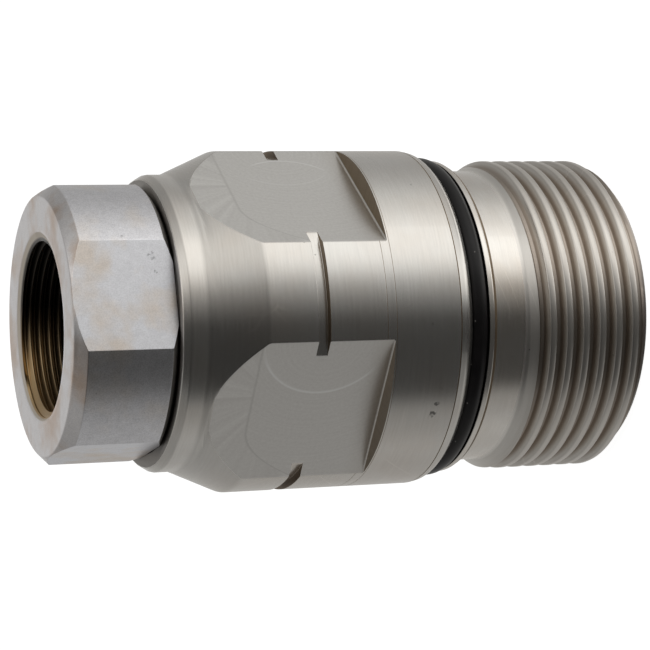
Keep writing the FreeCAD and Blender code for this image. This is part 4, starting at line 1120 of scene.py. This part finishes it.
# %% The camera
CAMERA_PLACE = Vector((0.0, -0.54452, 0.27390))
YAW, TILT, ROLL = np.radians([20.728, -0.142, -1.549])
FOCAL_PX, PHOTO_PX, SENSOR_MM = 2444.21, 650, 36.0
level = Vector((0, -math.sin(YAW), -math.cos(YAW)))
ahead = Vector((math.sin(TILT), math.cos(YAW) * math.cos(TILT), -math.sin(YAW) * math.cos(TILT)))
upright = level.cross(ahead)
right = math.cos(ROLL) * level + math.sin(ROLL) * upright
up = -math.sin(ROLL) * level + math.cos(ROLL) * upright
camera_data = bpy.data.cameras.new("camera")
camera_data.sensor_width = SENSOR_MM
camera_data.lens = FOCAL_PX * SENSOR_MM / PHOTO_PX
camera_data.clip_start = 0.01
camera = bpy.data.objects.new("camera", camera_data)
turn = Matrix((right, up, -ahead)).transposed().to_4x4()
camera.matrix_world = Matrix.Translation(CAMERA_PLACE) @ turn
bpy.context.scene.collection.objects.link(camera)
bpy.context.scene.camera = camera
print("lens:", round(camera_data.lens, 1), "mm")

# %% [markdown]
# ## Studio light
# Satin steel has hardly any colour of its own: what it shows is the room. The photo's studio is
# read off the part itself. Round the sleeve there is one broad bright panel above the camera, a
# black gap below it, and grey on the other sides, so the world is painted as such a ring of
# panels, by compass angle round the part. A second row, from side to side, lies below it, where
# only faces turned towards the threaded end look, and a third dims the room a little with
# height. The camera sees plain white instead, and so does a mirror ray that goes straight on
# behind the part.

# %% The world
scene = bpy.context.scene
world = bpy.data.worlds.new("studio")
world.use_nodes = True
scene.world = world
tree = world.node_tree
tree.nodes.clear()
coords = add(tree, "TexCoord")
axes = add(tree, "SeparateXYZ", coords.outputs["Generated"])
minus_y = add(tree, "Math", axes.outputs["Y"], -1.0, operation="MULTIPLY")
compass = add(tree, "Math", axes.outputs["X"], minus_y, operation="ARCTAN2")
share = add(tree, "MapRange", Value=compass, From_Min=-math.pi, From_Max=math.pi)


def panels(position, stops):
    """A row of panels. stops are pairs of place and brightness, spread from first to last."""
    node = add(tree, "ValToRGB", position)
    while len(node.color_ramp.elements) < len(stops):
        node.color_ramp.elements.new(0.5)
    first, last = stops[0][0], stops[-1][0]
    for stop, (place, bright) in zip(node.color_ramp.elements, stops):
        stop.position = (place - first) / (last - first)
        stop.color = (bright, bright, bright, 1)
    return node


# Pairs of place and brightness: degrees round the part, and X and Z of a direction
AROUND = [
    (-180, 0.68), (-160, 0.50), (-138, 0.42), (-118, 0.40), (-100, 0.44), (-82, 0.34), (-66, 0.30),
    (-54, 0.05), (-16, 0.05), (0, 0.05), (12, 0.20), (24, 0.45), (33, 0.95), (42, 1.30),
    (62, 1.35), (74, 0.95), (88, 0.78), (104, 0.52), (124, 0.40), (144, 0.44), (162, 0.50),
    (180, 0.68)
]
BELOW = [
    (-1, 0.4), (-0.45, 0.4), (-0.3, 0.03), (0.06, 0.03), (0.16, 0.5), (0.24, 1.4), (0.42, 1.4),
    (0.6, 0.5), (1, 0.4)
]
UPWARDS = [(-1, 1.0), (-0.25, 1.0), (0.4, 0.68), (0.55, 0.68), (0.8, 0.92), (1, 0.92)]
around = panels(share, AROUND)
across_x = add(tree, "MapRange", Value=axes.outputs["X"], From_Min=-1.0)
below = panels(across_x, BELOW)
sinking = add(tree, "MapRange", Value=axes.outputs["Z"], From_Min=-0.55, From_Max=-0.85)
height_share = add(tree, "MapRange", Value=axes.outputs["Z"], From_Min=-1.0)
rising = panels(height_share, UPWARDS)
dimmed = add(tree, "Mix", 1.0, A=around, B=rising, data_type="RGBA", blend_type="MULTIPLY")
belts = add(tree, "Mix", sinking, A=dimmed, B=below, data_type="RGBA")
warm = add(
    tree, "Mix", 1.0, A=belts, B=(1.0, 0.985, 0.955, 1.0), data_type="RGBA", blend_type="MULTIPLY"
)
room = add(tree, "Background", Color=warm, Strength=1.0)
white = add(tree, "Background", Color=(1, 1, 1, 1), Strength=1.0)
ray = add(tree, "LightPath")
mirrored = add(tree, "Math", ray.outputs["Is Glossy Ray"], ray.outputs["Is Transmission Ray"])
behind = add(tree, "MapRange", Value=axes.outputs["Y"], From_Min=0.94)
backdrop = add(tree, "Math", mirrored, behind, operation="MULTIPLY")
to_white = add(tree, "Math", ray.outputs["Is Camera Ray"], backdrop, operation="MAXIMUM")
shown = add(tree, "MixShader", to_white, room, white)
add(tree, "OutputWorld", Surface=shown)
scene.view_settings.view_transform = "Standard"
print("panels round the part:", len(AROUND))

# %% [markdown]
# ## Floor and lamps
# The part stands on a pale floor. The photo shows it against plain white, so the camera sees the
# floor as white with only a trace of the part's shadow, and from below it isn't there at all. The
# photo's part lay on its side with no floor behind its thread, so reflections pass the floor by.
# Two soft lamps light the rubber and plastic. The metal takes its look from the panels alone.

# %% The floor
FLOOR_HALF, FLOOR_AT = 3, -5e-5
square = ((-1, -1), (1, -1), (1, 1), (-1, 1))
corners = [(x * FLOOR_HALF, y * FLOOR_HALF, FLOOR_AT) for x, y in square]
floor_mesh = bpy.data.meshes.new("floor")
floor_mesh.from_pydata(corners, [], [(0, 1, 2, 3)])
floor = bpy.data.objects.new("floor", floor_mesh)
scene.collection.objects.link(floor)
floor_paint, tree = new_material("pale_studio_floor")
glow = add(tree, "Emission", Color=(1, 1, 1, 1), Strength=0.93)
matt = add(tree, "BsdfDiffuse", Color=(0.3, 0.3, 0.3, 1))
pale = add(tree, "AddShader", glow, matt)
clear = add(tree, "BsdfTransparent")
facing = add(tree, "NewGeometry")
two_sided = add(tree, "MixShader", facing.outputs["Backfacing"], pale, clear)
add(tree, "OutputMaterial", Surface=two_sided)
floor_mesh.materials.append(floor_paint)
for ray_kind in ("glossy", "diffuse", "shadow", "transmission"):
    setattr(floor, "visible_" + ray_kind, False)

# %% The lamps
LAMPS = [("key_lamp", (0.5, -0.7, 0.75), 3.0), ("fill_lamp", (-0.8, -0.3, 0.4), 1.8)]
PART_MIDDLE = Vector((0, 0, 0.07))
for name, place, watts in LAMPS:
    data = bpy.data.lights.new(name, "AREA")
    data.size, data.energy = 0.6, watts
    lamp = bpy.data.objects.new(name, data)
    lamp.location = place
    lamp.rotation_euler = (PART_MIDDLE - Vector(place)).to_track_quat("-Z", "Y").to_euler()
    lamp.visible_glossy = False
    scene.collection.objects.link(lamp)
    print(name, watts, "W")
